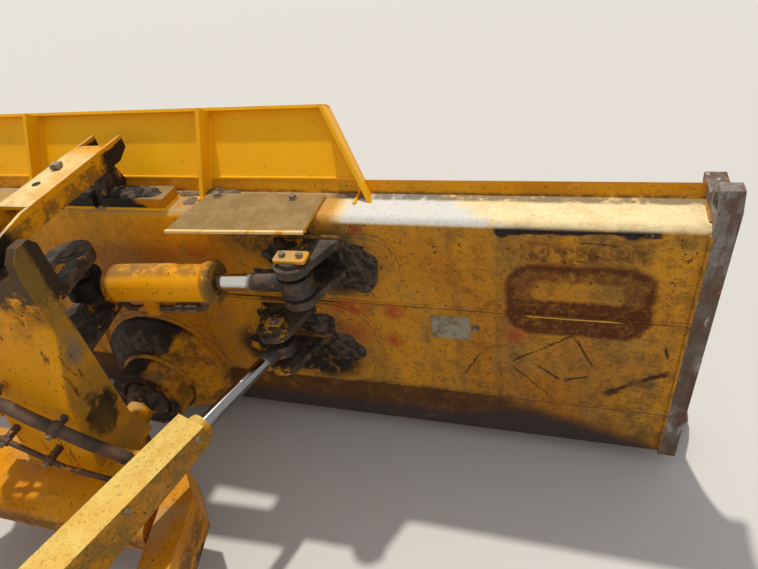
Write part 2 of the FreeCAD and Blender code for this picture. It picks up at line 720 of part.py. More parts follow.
# Blade: bracket and ball that the top link holds
ear_half = 24
ear_plate = new_body("link_ear_plate")
slab(ear_plate, "YZ", -ear_half, ear_half, [
    (s.link_front - 75, s.beam_height), (mold_back(s.beam_height) - 2, s.beam_height),
    (mold_back(lip_top) - 2, lip_top), (s.link_front + 30, s.link_height - 30),
    (s.link_front - 30, s.link_height - 30)])
put(ear_plate)
ear_stem = put(rod("link_ear_stem", s.link_stem, 32), 0, s.link_front, s.link_height - 32)
ear_ball = put(ball("link_ear_ball", s.link_ball), 0, s.link_front, s.link_height)
keep("link_ear", fused("link_ear", ear_plate, ear_stem, ear_ball))

box_front = mold_back(s.beam_height) - 36
box_high = s.beam_height + s.link_box_rise
box_outline = [(24, s.beam_height), (box_front, s.beam_height), (box_front, box_high),
               (24, box_high)]
boxes = new_body("link_boxes")
for side_name, side in SIDES:
    low, high = span(side, 24, s.link_box_half)
    slab(boxes, "YZ", low, high, box_outline)
keep("link_boxes", put(boxes))

# Blade: plate bolted on the beam that shields the tilt rod's eye
shield_low = s.beam_height
shield = new_body("tilt_shield")
slab(shield, "XY", shield_low, shield_low + 10, [
    (s.rib_place - 22, -105), (s.tilt_eye_side + 35, -85),
    (s.tilt_eye_side + 35, 118), (s.rib_place + 18, 118)])
keep("tilt_shield", put(shield))

# Push frame: crossmember, arms and trunnion eyes
cross = new_body("frame_crossmember")
cross_half = s.arm_inside
slab(cross, "YZ", -cross_half, cross_half, [
    (-s.cross_front, s.cross_low), (-s.cross_front, s.cross_high),
    (-s.cross_back, s.cross_high), (-s.cross_back, s.cross_low)])
round_corners(cross, "YZ", [(-s.cross_back, s.cross_high), (-s.cross_back, s.cross_low)],
              s.cross_round)
keep("frame_crossmember", put(cross))

arm_outline = [
    (-s.cross_front, s.cross_low), (-s.cross_front, s.cross_high),
    (-s.arm_bend, s.cross_high), (-s.face_ahead, s.axle_height + s.arm_end_half),
    (-s.face_ahead, s.axle_height - s.arm_end_half), (-s.arm_bend, s.cross_low + 20)]
arm_rear = s.arm_inside + s.arm_flare
arm_end = s.face_ahead + 100
arm_inner_cut = [
    (s.arm_inside - 1, -s.arm_flare_start), (s.arm_inside, -s.arm_flare_start),
    (arm_rear, -s.arm_flare_end), (arm_rear, -arm_end), (s.arm_inside - 1, -arm_end)]
arm_spread = s.arm_flare / (s.arm_flare_end - s.arm_flare_start)
corner_side = s.arm_inside + s.arm_width + (s.arm_corner - s.arm_flare_start) * arm_spread
arm_outer_cut = [
    (s.arm_inside + 1, -s.cross_front + 1), (arm_rear + s.arm_width + 1, -s.cross_front + 1),
    (arm_rear + s.arm_width + 1, -s.arm_flare_end), (arm_rear + s.arm_width, -s.arm_flare_end),
    (corner_side, -s.arm_corner), (s.arm_inside + 1, -s.cross_front)]
for side_name, side in SIDES:
    arm = new_body("frame_arm_" + side_name)
    low, high = span(side, s.arm_inside, arm_rear + s.arm_width)
    slab(arm, "YZ", low, high, arm_outline)
    for shape in (arm_inner_cut, arm_outer_cut):
        pocket(arm, "XY", s.cross_low - 5, s.cross_high + 105,
               shape if side > 0 else mirror_x(shape))
    pocket(arm, "YZ", low, high, circle=(-s.face_ahead, s.axle_height, s.trunnion_ring))
    keep("frame_arm_" + side_name, put(arm))
    ring = new_body("trunnion_eye_" + side_name)
    middle = arm_rear + s.arm_width / 2
    low, high = span(side, middle - s.trunnion_width / 2, middle + s.trunnion_width / 2)
    slab(ring, "YZ", low, high, circle=(-s.face_ahead, s.axle_height, s.trunnion_ring))
    pocket(ring, "YZ", low, high, circle=(-s.face_ahead, s.axle_height, s.trunnion_bore))
    keep("trunnion_eye_" + side_name, put(ring))

# Push frame: nose that carries the ball, and the tower above it
nose_block = new_body("nose_block")
slab(nose_block, "XY", s.nose_low, s.nose_high, [
    (-135, -s.cross_front), (135, -s.cross_front), (120, -s.cross_front + 110),
    (62, -s.cross_front + 185), (-62, -s.cross_front + 185), (-120, -s.cross_front + 110)])
put(nose_block)
nose_stem = turned("nose_stem", [
    (0, s.ball_back + 60), (s.nose_stem, s.ball_back + 60), (s.nose_stem, s.ball_back + 95),
    (60, s.cross_front - 170), (60, s.cross_front - 20), (0, s.cross_front - 20)])
put(nose_stem, 0, 0, s.ball_height, REARWARD)
nose_all = fused("nose_all", nose_block, nose_stem)
nose_seat = put(ball("nose_seat", s.ball_radius + s.seat_gap), 0, -s.ball_back, s.ball_height)
keep("frame_nose", cut_by("frame_nose", nose_all, nose_seat))

tower = new_body("frame_tower")
head_front = -s.tower_front + 40
head_rear = head_front - s.tower_head
tower_waist = s.tower_top - 405
lug_top = s.tilt_base_height + s.tilt_lug_gap + s.tilt_lug
tower_outline = [
    (-s.tower_front + 45, s.nose_high), (-s.tower_front, s.nose_high + 140),
    (-s.tower_front, lug_top + 4), (head_front, lug_top + 34),
    (head_front, s.tower_top), (head_rear, s.tower_top), (head_rear, s.tower_top - 155),
    (head_rear - s.tower_spread, tower_waist), (head_rear - s.tower_spread - 40, s.cross_high),
    (-s.cross_front, s.cross_high), (-s.cross_front, s.nose_high)]
slab(tower, "YZ", -s.tower_half, s.tower_half, tower_outline)
for side_name, side in SIDES:
    low, high = span(side, s.tower_half - s.cheek, s.tower_half)
    cheek_top = s.tower_top + s.cheek_rise
    slab(tower, "YZ", low, high, [
        (head_front, s.tower_top), (head_front, cheek_top - 25), (head_front - 20, cheek_top),
        (head_rear + 40, cheek_top), (head_rear + 10, cheek_top - 30), (head_rear, s.tower_top)])
tower_rear = (head_rear + 1).value
round_edges(tower, lambda a, b: abs(a.x - b.x) < 1 and max(a.y, b.y) < tower_rear
            and abs(a.z - b.z) > 200, s.tower_round)
keep("frame_tower", put(tower))

tilt_lugs = new_body("tilt_base_lugs")
lug_outline = [(-110, -s.tower_front), (-78, -s.ball_back), (78, -s.ball_back),
               (110, -s.tower_front)]
for low in (s.tilt_base_height + s.tilt_lug_gap, s.tilt_base_height - s.tilt_lug_gap - s.tilt_lug):
    high = low + s.tilt_lug
    slab(tilt_lugs, "XY", low, high, lug_outline)
    slab(tilt_lugs, "XY", low, high, circle=(0, -s.ball_back, 78))
    pocket(tilt_lugs, "XY", low, high, circle=(0, -s.ball_back, s.tilt_pin + 0.1))
keep("tilt_base_lugs", put(tilt_lugs))

link_base = turned("link_base", [(s.link_stem + 0.1, 0), (60, 0), (50, 12),
                                 (s.link_stem + 0.1, 12)])
keep("link_base", put(link_base, 0, -s.link_rear, s.tower_top))

def arm_top(back):
    """Height of an arm's sloping top at a distance behind the rear face."""
    rise = s.axle_height + s.arm_end_half - s.cross_high
    return s.cross_high + (back - s.arm_bend) * rise / (s.face_ahead - s.arm_bend)


# Push frame: lift cylinder lugs on the arms, and the angle cylinders' base brackets
lift_foot = s.lift_round + 30
lift_height = arm_top(s.lift_back) + s.lift_rise
for side_name, side in SIDES:
    lugs = new_body("lift_lugs_" + side_name)
    for inner in (arm_rear, arm_rear + s.arm_width - s.lift_lug):
        low, high = span(side, inner, inner + s.lift_lug)
        slab(lugs, "YZ", low, high, [
            (-s.lift_back - lift_foot, arm_top(s.lift_back + lift_foot)),
            (-s.lift_back + lift_foot, arm_top(s.lift_back - lift_foot)),
            (-s.lift_back + s.lift_round, lift_height), (-s.lift_back - s.lift_round, lift_height)])
        slab(lugs, "YZ", low, high, circle=(-s.lift_back, lift_height, s.lift_round))
        pocket(lugs, "YZ", low, high, circle=(-s.lift_back, lift_height, s.lift_bore))
    keep("lift_lugs_" + side_name, put(lugs))

lug_round = 66
for side_name, side in SIDES:
    bracket = new_body("angle_base_" + side_name)
    web_front = s.angle_base_back + 80
    low, high = span(side, s.angle_base_side - 80, arm_rear + s.arm_width)
    slab(bracket, "XZ", -web_front - 35, -web_front, [
        (low, s.angle_base_height - 95), (high, s.angle_base_height - 95),
        (high, s.angle_base_height + 95), (low, s.angle_base_height + 95)])
    foot_low, foot_high = span(side, arm_rear, arm_rear + s.arm_width)
    slab(bracket, "XZ", -web_front - 35, -web_front, [
        (foot_low, s.cross_high), (foot_high, s.cross_high),
        (foot_high, s.angle_base_height - 90), (foot_low, s.angle_base_height - 90)])
    pin_x = s.angle_base_side * side
    for floor in (s.angle_base_height + s.angle_lug_gap,
                  s.angle_base_height - s.angle_lug_gap - s.angle_lug):
        ceiling = floor + s.angle_lug
        slab(bracket, "XY", floor, ceiling, [
            (pin_x - lug_round, -web_front - 5), (pin_x + lug_round, -web_front - 5),
            (pin_x + lug_round, -s.angle_base_back), (pin_x - lug_round, -s.angle_base_back)])
        slab(bracket, "XY", floor, ceiling, circle=(pin_x, -s.angle_base_back, lug_round))
        pocket(bracket, "XY", floor, ceiling,
               circle=(pin_x, -s.angle_base_back, s.angle_pin + 0.1))
    keep("angle_base_" + side_name, put(bracket))

# Push frame: a hose and a tube clamped across the tower's rear, between two blocks
hose_route = [
    (-215, -548, 790), (-215, -632, 790), (-20, -632, 745), (75, -640, 705), (205, -632, 618),
    (318, -612, 520), (318, -612, 462)]
tube_route = [
    (-205, -592, 640), (-205, -656, 640), (-40, -658, 558), (85, -664, 503), (205, -645, 440),
    (290, -645, 440)]


def box_solid(low, high):
    return Part.makeBox(*[b - a for a, b in zip(low, high)], Vector(*low))


def tower_back(height):
    """How far behind the rear face the tower's rear slope is at a height."""
    top, foot = (s.tower_top - 155).value, tower_waist.value
    back, spread = head_rear.value, s.tower_spread.value
    if height > foot:
        return back - spread * (top - height) / (top - foot)
    return back - spread - 40 * (foot - height) / (foot - s.cross_high.value)


def line_clamp(line, place, direction, radius):
    """A sleeve on a foot that reaches the tower's rear face."""
    outer = radius + s.clamp_wall.value
    sleeve = Part.makeCylinder(outer, 26, place - direction * 13, direction)
    low, high = place.z - 9, place.z + 9
    foot = Part.Face(Part.makePolygon([
        Vector(place.x - 9, place.y, low), Vector(place.x - 9, place.y, high),
        Vector(place.x - 9, tower_back(high), high), Vector(place.x - 9, tower_back(low), low),
        Vector(place.x - 9, place.y, low)])).extrude(Vector(18, 0, 0))
    return sleeve.fuse(foot).cut(line)


hose = line_solid(hose_route, s.hose_radius, 55)
tube = line_solid(tube_route, s.tube_radius, 22)
clamps = [
    line_clamp(hose, Vector(-70, -632, 756.5), Vector(195, 0, -45).normalize(), s.hose_radius.value),
    line_clamp(hose, Vector(130, -637, 668.2), Vector(130, 8, -87).normalize(), s.hose_radius.value),
    line_clamp(tube, Vector(-100, -657.3, 587.8), Vector(165, -2, -82).normalize(),
               s.tube_radius.value),
    line_clamp(tube, Vector(40, -661.8, 522.8), Vector(125, -6, -55).normalize(),
               s.tube_radius.value)]
blocks = [
    box_solid((-250, -548, 765), (-150, -500, 815)), box_solid((-235, -592, 615), (-150, -550, 665)),
    box_solid((290, -672, s.cross_high.value), (352, -585, 462))]
for name, shape in (("hydraulic_hose", hose), ("hydraulic_tube", tube),
                    ("hose_clamps", Part.makeCompound(clamps)),
                    ("line_blocks", Part.makeCompound(blocks))):
    item = doc.addObject("Part::Feature", name)
    item.Shape = shape
    keep(name, put(item))

# Centre ball
keep("centre_ball", put(ball("centre_ball", s.ball_radius), 0, -s.ball_back, s.ball_height))

# Top link: a channel with a ball socket at the rear and an open fork at the front
stud_stem = put(rod("stud_stem", s.link_stem, s.link_height - s.tower_top - 2),
                0, -s.link_rear, s.tower_top + 2)
stud_ball = put(ball("stud_ball", s.link_ball), 0, -s.link_rear, s.link_height)
keep("link_stud", fused("link_stud", stud_stem, stud_ball))

link_top = s.link_height + s.link_rise
channel = new_body("link_channel")
front_end = s.link_front + s.link_fork
rear_end = -s.link_rear - 52
plate_rear = -s.link_rear + s.link_plate_rear
plate_front = s.link_front - s.link_plate_front
slab(channel, "XY", link_top - s.link_sheet, link_top, [
    (-s.link_half, plate_rear), (-s.link_half, plate_front - 28), (-s.link_half + 26, plate_front),
    (s.link_half - 26, plate_front), (s.link_half, plate_front - 28), (s.link_half, plate_rear)])
for side_name, side in SIDES:
    low, high = span(side, s.link_half - s.link_sheet, s.link_half)
    slab(channel, "YZ", low, high, [
        (rear_end, s.link_height - 30), (rear_end, s.link_height + 30),
        (-s.link_rear + 120, link_top - 1), (front_end, link_top - 1),
        (front_end, link_top - 45), (front_end - 50, link_top - s.link_skirt),
        (-s.link_rear + 60, link_top - s.link_skirt)])
slab(channel, "XZ", rear_end, -s.link_rear + 60, [
    (-s.link_half + 1, s.link_height - 22), (s.link_half - 1, s.link_height - 22),
    (s.link_half - 1, s.link_height + 28), (-s.link_half + 1, s.link_height + 28)])
put(channel)
link_seat = put(ball("link_seat", s.link_ball + s.seat_gap), 0, -s.link_rear, s.link_height)
stem_way = put(rod("stem_way", s.link_stem + 8, 60), 0, -s.link_rear, s.link_height - 60)
keep("top_link", cut_by("top_link", channel, fused("link_hollow", link_seat, stem_way)))


def cylinder_set(prefix, base, eye, radii, lengths, lug_gap, lug):
    """Barrel with its bearing eye, and rod with its eye, between two points."""
    barrel_radius, bore_radius, ball_radius, pin_radius = radii
    start, end = lengths
    spot = [as_size(c) for c in base]
    aim = Vector(*[as_size(e).value - b.value for e, b in zip(eye, spot)])
    turn = Rotation(UP, aim)
    tube = turned(prefix + "_tube", [
        (0, start), (barrel_radius - 8, start), (barrel_radius, start + 10),
        (barrel_radius, end), (bore_radius, end), (bore_radius, start + 30), (0, start + 30)])
    put(tube, *spot, turn)
    collar = put(rod(prefix + "_collar", ball_radius + 20, 66), spot[0], spot[1], spot[2] - 33)
    neck = put(rod(prefix + "_neck", ball_radius * 0.65, start + 6), *spot, turn)
    solid = fused(prefix + "_solid", tube, collar, neck)
    seat = put(ball(prefix + "_seat", ball_radius + s.seat_gap), *spot)
    keep(prefix + "_barrel", cut_by(prefix + "_barrel", solid, seat))
    reach = lug_gap + lug + 4
    pin = put(rod(prefix + "_pin_rod", pin_radius, reach * 2), spot[0], spot[1], spot[2] - reach)
    bearing = put(ball(prefix + "_pin_ball", ball_radius), *spot)
    rings = []
    for floor in (52, 1 - lug_gap):
        ring = rod(prefix + "_ring", pin_radius + 12, lug_gap - 53)
        rings.append(put(ring, spot[0], spot[1], spot[2] + floor))
    keep(prefix + "_pin", fused(prefix + "_pin", pin, bearing, *rings))
    return spot, aim, turn


# Tilt cylinder, level across the blade's rear
tilt_base = (0, -s.ball_back, s.tilt_base_height)
tilt_eye = (s.tilt_eye_side, -s.tilt_eye_back, s.tilt_eye_height)
spot, aim, turn = cylinder_set(
    "tilt", tilt_base, tilt_eye,
    (s.tilt_barrel, s.tilt_bore, s.tilt_ball, s.tilt_pin),
    (s.tilt_barrel_start, s.tilt_barrel_end), s.tilt_lug_gap, s.tilt_lug)
gland = turned("tilt_gland", [
    (s.tilt_rod + 0.1, s.tilt_barrel_end - 40), (s.tilt_bore - 0.3, s.tilt_barrel_end - 40),
    (s.tilt_bore - 0.3, s.tilt_barrel_end), (s.tilt_gland, s.tilt_barrel_end),
    (s.tilt_gland, s.tilt_gland_end - 5), (s.tilt_gland - 5, s.tilt_gland_end),
    (s.tilt_rod + 14, s.tilt_gland_end), (s.tilt_rod + 12, s.tilt_gland_end - 8),
    (s.tilt_rod + 0.1, s.tilt_gland_end - 8)])
keep("tilt_gland", put(gland, *spot, turn))
length = aim.Length
piston_foot = s.tilt_barrel_start + 115
tilt_shaft = turned("tilt_shaft", [
    (0, piston_foot), (s.tilt_bore - 0.5, piston_foot), (s.tilt_bore - 0.5, piston_foot + 50),
    (s.tilt_rod, piston_foot + 50), (s.tilt_rod, length - 145), (s.tilt_eye_neck, length - 130),
    (s.tilt_eye_neck, length - 40), (0, length - 40)])
put(tilt_shaft, *spot, turn)
eye_low = s.tilt_eye_height - s.tilt_eye_half
tilt_head = put(rod("tilt_head", s.tilt_eye_round, s.tilt_eye_half * 2),
                s.tilt_eye_side, -s.tilt_eye_back, eye_low)
keep("tilt_rod", fused("tilt_rod", tilt_shaft, tilt_head))

# A line along the barrel's underside, drawn from the base pin with +Z along the barrel
hull = Part.makeCylinder(s.tilt_barrel.value, length)
line_low, line_back = s.tilt_barrel.value + 22, -26
tilt_line = line_solid([(40, line_back, 150), (line_low, line_back, 150),
                        (line_low, line_back, 452), (40, line_back, 452)], s.line_radius, 22)
clamp_box = Part.makeBox(line_low - 24, 40, 44, Vector(40, line_back - 20, 236))
for name, shape in (("tilt_line", tilt_line.cut(hull)),
                    ("tilt_line_clamp", clamp_box.cut(hull).cut(tilt_line))):
    item = doc.addObject("Part::Feature", name)
    item.Shape = shape
    keep(name, put(item, *spot, turn))

# Angle cylinders, each under a channel cover
for side_name, side in SIDES:
    name = "angle_" + side_name
    base = (s.angle_base_side * side, -s.angle_base_back, s.angle_base_height)
    eye = (s.angle_eye_side * side, -s.angle_eye_back, s.angle_eye_height)
    spot, aim, turn = cylinder_set(
        name, base, eye,
        (s.angle_barrel, s.angle_bore, s.angle_ball, s.angle_pin),
        (s.angle_barrel_start, s.angle_barrel_end), s.angle_lug_gap, s.angle_lug)
    length = aim.Length
    gland = turned(name + "_gland", [
        (s.angle_rod + 0.1, s.angle_barrel_end - 40),
        (s.angle_bore - 0.3, s.angle_barrel_end - 40),
        (s.angle_bore - 0.3, s.angle_barrel_end), (s.angle_barrel, s.angle_barrel_end),
        (s.angle_barrel - 4, s.angle_barrel_end + 14), (s.angle_rod + 10, s.angle_barrel_end + 14),
        (s.angle_rod + 0.1, s.angle_barrel_end + 6)])
    keep(name + "_gland", put(gland, *spot, turn))
    piston_foot = s.angle_barrel_start + 300
    shaft = turned(name + "_shaft", [
        (0, piston_foot), (s.angle_bore - 0.5, piston_foot),
        (s.angle_bore - 0.5, piston_foot + 50), (s.angle_rod, piston_foot + 50),
        (s.angle_rod, length - 90), (s.angle_eye_neck, length - 80),
        (s.angle_eye_neck, length - 30), (0, length - 30)])
    put(shaft, *spot, turn)
    head = put(rod(name + "_head", s.angle_eye_round, s.angle_eye_half * 2),
               eye[0], eye[1], eye[2] - s.angle_eye_half)
    keep(name + "_rod", fused(name + "_rod", shaft, head))
    yaw = math.degrees(math.atan2(-aim.x, aim.y))
    pitch = math.degrees(math.atan2(aim.z, math.hypot(aim.x, aim.y)))
    level = Rotation(UP, yaw).multiply(Rotation(RIGHT, pitch))
    cover = new_body(name + "_cover")
    cover_top = s.angle_barrel + s.seat_gap + s.cover_sheet
    slab(cover, "XY", cover_top - s.cover_sheet, cover_top, [
        (-s.cover_half, s.cover_start), (s.cover_half, s.cover_start),
        (s.cover_half, s.cover_end), (-s.cover_half, s.cover_end)])
    for low in (-s.cover_half, s.cover_half - s.cover_sheet):
        slab(cover, "YZ", low, low + s.cover_sheet, [
            (s.cover_start, cover_top - s.cover_deep), (s.cover_end, cover_top - s.cover_skirt),
            (s.cover_end, cover_top - 1), (s.cover_start, cover_top - 1)])
    keep(name + "_cover", put(cover, *spot, level))

# Every sub-part is tested before it is written
doc.recompute()
broken = [item.Label for item in doc.Objects if {"Invalid", "Error"} & set(item.State)]
broken += [label for label, item in parts.items() if item.Shape.isNull() or not item.Shape.isValid()]
if broken:
    raise RuntimeError("failed: " + ", ".join(broken))
os.makedirs("parts", exist_ok=True)
total = 0
for label, item in parts.items():
    item.Shape.exportStep("parts/" + label + ".step")
    total += item.Shape.Volume
    box = item.Shape.BoundBox
    print("%-20s solids %d  litres %.2f  x %.0f..%.0f y %.0f..%.0f z %.0f..%.0f" % (
        label, len(item.Shape.Solids), item.Shape.Volume / 1e6,
        box.XMin, box.XMax, box.YMin, box.YMax, box.ZMin, box.ZMax))
print("%d sub-parts, %.1f litres" % (len(parts), total / 1e6))
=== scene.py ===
# %% [markdown]
# # A dozer blade seen from the cab
# The packed model gives the solid parts of a six-way dozer blade: the blade itself, its push
# frame, three hydraulic cylinders and a top link. This lesson dresses it as a used machine wears
# it: old yellow paint, dust, rust and grease, and the small things a welder and a fitter leave
# behind, such as beads, bolts and pipe nuts.

# %% Load the frame
import math

import bpy
import numpy as np
from mathutils import Matrix, Vector


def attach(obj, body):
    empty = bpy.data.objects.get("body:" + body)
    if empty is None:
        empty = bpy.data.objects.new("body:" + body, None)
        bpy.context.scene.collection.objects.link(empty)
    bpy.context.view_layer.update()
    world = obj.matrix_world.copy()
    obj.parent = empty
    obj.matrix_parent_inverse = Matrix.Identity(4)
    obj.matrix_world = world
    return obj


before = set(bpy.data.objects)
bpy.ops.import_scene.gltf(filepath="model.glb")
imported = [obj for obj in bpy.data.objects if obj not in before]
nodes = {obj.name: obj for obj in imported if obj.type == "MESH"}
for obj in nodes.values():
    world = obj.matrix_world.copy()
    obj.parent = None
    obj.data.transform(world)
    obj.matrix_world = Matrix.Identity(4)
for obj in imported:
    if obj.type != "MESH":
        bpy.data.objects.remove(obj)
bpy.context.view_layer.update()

# %% [markdown]
# ## Where things are
# The model's own origin lies on the trunnion axis, over two metres behind the blade. Places could
# be typed from there, but they are easier to check against a picture when they start on the ground
# below the middle of the rear face: X to the right, Y forward and Z up. `at` adds the difference.
# What several pieces and marks share has its name here, given for the right side if it has a twin.

# %% Places
FACE_Y = 2.25
GROUND_Z = -0.45
FACE_END = 1.9
BEAM_TOP = 1.018
UPPER_SEAM, LOWER_SEAM = 0.688, 0.285
BALL_Z = 0.268
TILT_BASE, TILT_EYE = (0.0, -0.190, 0.855), (0.775, -0.140, 0.880)
ANGLE_BASE, ANGLE_EYE = (0.320, -1.180, 0.600), (0.640, -0.130, 0.580)


def at(x, y, z):
    """Points in the model's frame from places measured on the blade."""
    return np.stack(np.broadcast_arrays(x, y + FACE_Y, z + GROUND_Z), axis=-1).astype(float)


print("tilt cylinder's eye in the model's frame:", at(*TILT_EYE).round(3))

# %% [markdown]
# ## Camera
# The picture was taken from above the right track, looking forward and to the left, with the
# camera rolled a little. A camera can be set by eye, but then nothing lines up. Here the angles,
# the place and the focal length, in pixels of a picture 758 pixels wide, came from fitting the
# straight edges of the blade.

# %% Camera
FOCAL_PIXELS, PICTURE_PIXELS, SENSOR_WIDTH = 593.2, 758, 36
CAMERA_PLACE = (1.5447, 0.8649, 1.5165)
yaw, pitch, roll = math.radians(22.13), math.radians(38.73), math.radians(10.68)
ahead = Vector((-math.sin(yaw) * math.cos(pitch), math.cos(yaw) * math.cos(pitch), -math.sin(pitch)))
level_right = Vector((math.cos(yaw), math.sin(yaw), 0))
level_down = ahead.cross(level_right)
image_right = math.cos(roll) * level_right + math.sin(roll) * level_down
image_down = -math.sin(roll) * level_right + math.cos(roll) * level_down

camera_data = bpy.data.cameras.new("camera")
camera_data.sensor_width = SENSOR_WIDTH
camera_data.lens = FOCAL_PIXELS / PICTURE_PIXELS * SENSOR_WIDTH
camera = bpy.data.objects.new("camera", camera_data)
turn = Matrix((image_right, -image_down, -ahead)).transposed().to_4x4()
camera.matrix_world = Matrix.Translation(CAMERA_PLACE) @ turn
bpy.context.collection.objects.link(camera)
bpy.context.scene.camera = camera
bpy.context.scene.view_settings.view_transform = "Standard"
print("lens: %.1f mm" % camera_data.lens)

# %% [markdown]
# ## Writing materials as sums
# Shader nodes can be added and linked one by one, but a worn machine needs hundreds of them. A
# `Socket` wraps one output of a node: arithmetic on sockets adds math nodes, and `node` adds any
# other kind. So a material reads like the formula behind it.


# %% Node arithmetic
class Socket:
    """An output socket in the material being written."""

    tree = None

    def __init__(self, socket):
        self.socket = socket

    @classmethod
    def node(cls, kind, inputs=None, output=0, **settings):
        """Add a node: its settings first, then a link or a value for each named input."""
        made = cls.tree.nodes.new("ShaderNode" + kind)
        for name, value in settings.items():
            setattr(made, name, value)
        for name, value in (inputs or {}).items():
            if isinstance(value, Socket):
                cls.tree.links.new(value.socket, made.inputs[name])
            else:
                made.inputs[name].default_value = value
        return cls(made.outputs[output])

    @classmethod
    def math(cls, operation, *values):
        return cls.node("Math", dict(enumerate(values)), operation=operation)

    def __add__(self, other):
        return self.math("ADD", self, other)

    def __sub__(self, other):
        return self.math("SUBTRACT", self, other)

    def __mul__(self, other):
        return self.math("MULTIPLY", self, other)

    def __truediv__(self, other):
        return self.math("DIVIDE", self, other)

    def __radd__(self, other):
        return self.math("ADD", other, self)

    def __rsub__(self, other):
        return self.math("SUBTRACT", other, self)

    def __rmul__(self, other):
        return self.math("MULTIPLY", other, self)

    def __abs__(self):
        return self.math("ABSOLUTE", self)

    def either(self, other):
        """The larger of two masks: 1 where either is 1."""
        return self.math("MAXIMUM", self, other)

    def root(self):
        return self.math("SQRT", self)


print("a socket can:", ", ".join(n.strip("_") for n, v in vars(Socket).items() if callable(v)))

# %% [markdown]
# ## Masks
# Dirt and scratches could be painted on an image. A formula needs no image and stays sharp close
# by, and its marks sit where they were measured. Every mark is a mask, a number from 0 to 1 over
# the surface, cut by a soft step out of noise or out of the distance to a rounded box, a disc or a
# straight scratch.


# %% Masks
def step(value, start, end):
    """0 up to start, 1 from end on, smooth between. With start above end it falls instead."""
    return Socket.node("MapRange", {"Value": value, "From Min": start, "From Max": end},
                       interpolation_type="SMOOTHSTEP")


def between(value, start, end, soft=0.03):
    """1 between two places, with a soft start and end inside them."""
    return step(value, start, start + soft) * step(value, end, end - soft)


def mix(amount, first, second):
    """A colour: first where amount is 0, second where it is 1."""
    inputs = {0: amount, 6: first, 7: second}
    return Socket.node("Mix", inputs, output=2, data_type="RGBA")


def noise(scale, detail=4.0, stretch=(1, 1, 1), shift=0.0, roughness=0.55):
    """Fractal noise in object coordinates, about 0.3 to 0.7."""
    spot = Socket.node("TexCoord", output="Object")
    spot = Socket.node("Mapping", {"Vector": spot, "Scale": stretch, "Location": (shift,) * 3})
    return Socket.node("TexNoise", {"Vector": spot, "Scale": scale, "Detail": detail,
                                    "Roughness": roughness})


def split(vector):
    """The three parts of a vector."""
    outputs = Socket.node("SeparateXYZ", {0: vector}).socket.node.outputs
    return [Socket(o) for o in outputs]


def place():
    """X, Y and Z of the shaded point, measured on the blade."""
    x, y, z = split(Socket.node("TexCoord", output="Object"))
    return x, y - FACE_Y, z - GROUND_Z


def facing(axis):
    """How far the surface faces along an axis: 1 fully, -1 away from it."""
    return split(Socket.node("NewGeometry", output="Normal"))["XYZ".index(axis)]


def box(u, v, left, right, low, high, corner):
    """Signed distance to a rounded rectangle, negative inside it."""
    du = abs(u - (left + right) / 2) - ((right - left) / 2 - corner)
    dv = abs(v - (low + high) / 2) - ((high - low) / 2 - corner)
    du0, dv0 = du.either(0.0), dv.either(0.0)
    return (du0 * du0 + dv0 * dv0).root() + Socket.math("MINIMUM", du.either(dv), 0.0) - corner


def disc(u, v, centre_u, centre_v, radius, soft, flat=1.0):
    """1 inside an ellipse that is flat times as high as it is wide."""
    du, dv = u - centre_u, (v - centre_v) / flat
    return step((du * du + dv * dv).root(), radius + soft, radius - soft)


def stroke(u, v, start, end, width):
    """1 along a straight scratch, whose ends fade over 2 cm."""
    run_u, run_v = end[0] - start[0], end[1] - start[1]
    length = math.hypot(run_u, run_v)
    across = abs((u - start[0]) * (-run_v / length) + (v - start[1]) * (run_u / length))
    along = abs((u - start[0]) * (run_u / length) + (v - start[1]) * (run_v / length) - length / 2)
    return step(across, width, width * 0.4) * step(along, length / 2, length / 2 - 0.02)


def worn_edges(radius, noise_amount):
    """1 at sharp edges, broken up by noise: there the bevelled normal leaves the flat one."""
    soft = Socket.node("Bevel", {"Radius": radius})
    hard = Socket.node("NewGeometry", output="Normal")
    alike = Socket.node("VectorMath", {0: soft, 1: hard}, output="Value", operation="DOT_PRODUCT")
    return step(1.0 - alike + (noise_amount - 0.5) * 0.30, 0.10, 0.26)


print("masks:", ", ".join(f.__name__ for f in (step, between, box, disc, stroke, worn_edges)))

# %% [markdown]
# ## From formulas to materials
# A finish is a function that returns four things: colour, roughness, metallic and the height for
# a bump. Dirt and rust stand off the steel by a millimetre or less, so a bump shows them as well
# as real relief would. `finish` makes a material and keeps it under a short name until the parts
# are dressed.

# %% Materials
BUMP_DISTANCE, BUMP_STRENGTH = 0.004, 0.7
looks = {}


def material(name, draw, **constants):
    """A material whose draw function returns colour, roughness, metallic and bump height."""
    made = bpy.data.materials.new(name)
    made.use_nodes = True
    Socket.tree = made.node_tree
    shader = made.node_tree.nodes["Principled BSDF"]
    for key, value in constants.items():
        shader.inputs[key.replace("_", " ")].default_value = value
    colour, roughness, metallic, height = draw()
    for key, value in (("Base Color", colour), ("Roughness", roughness), ("Metallic", metallic)):
        if isinstance(value, Socket):
            made.node_tree.links.new(value.socket, shader.inputs[key])
        else:
            shader.inputs[key].default_value = value
    bumped = Socket.node("Bump", {"Height": height, "Distance": BUMP_DISTANCE,
                                  "Strength": BUMP_STRENGTH})
    made.node_tree.links.new(bumped.socket, shader.inputs["Normal"])
    return made


def finish(look, name, draw, **constants):
    """Make a material and keep it under a short name."""
    looks[look] = material(name, draw, **constants)
    print("%-10s %4d shader nodes" % (look, len(looks[look].node_tree.nodes)))


print("bump: %.0f mm at most" % (BUMP_DISTANCE * 1000))

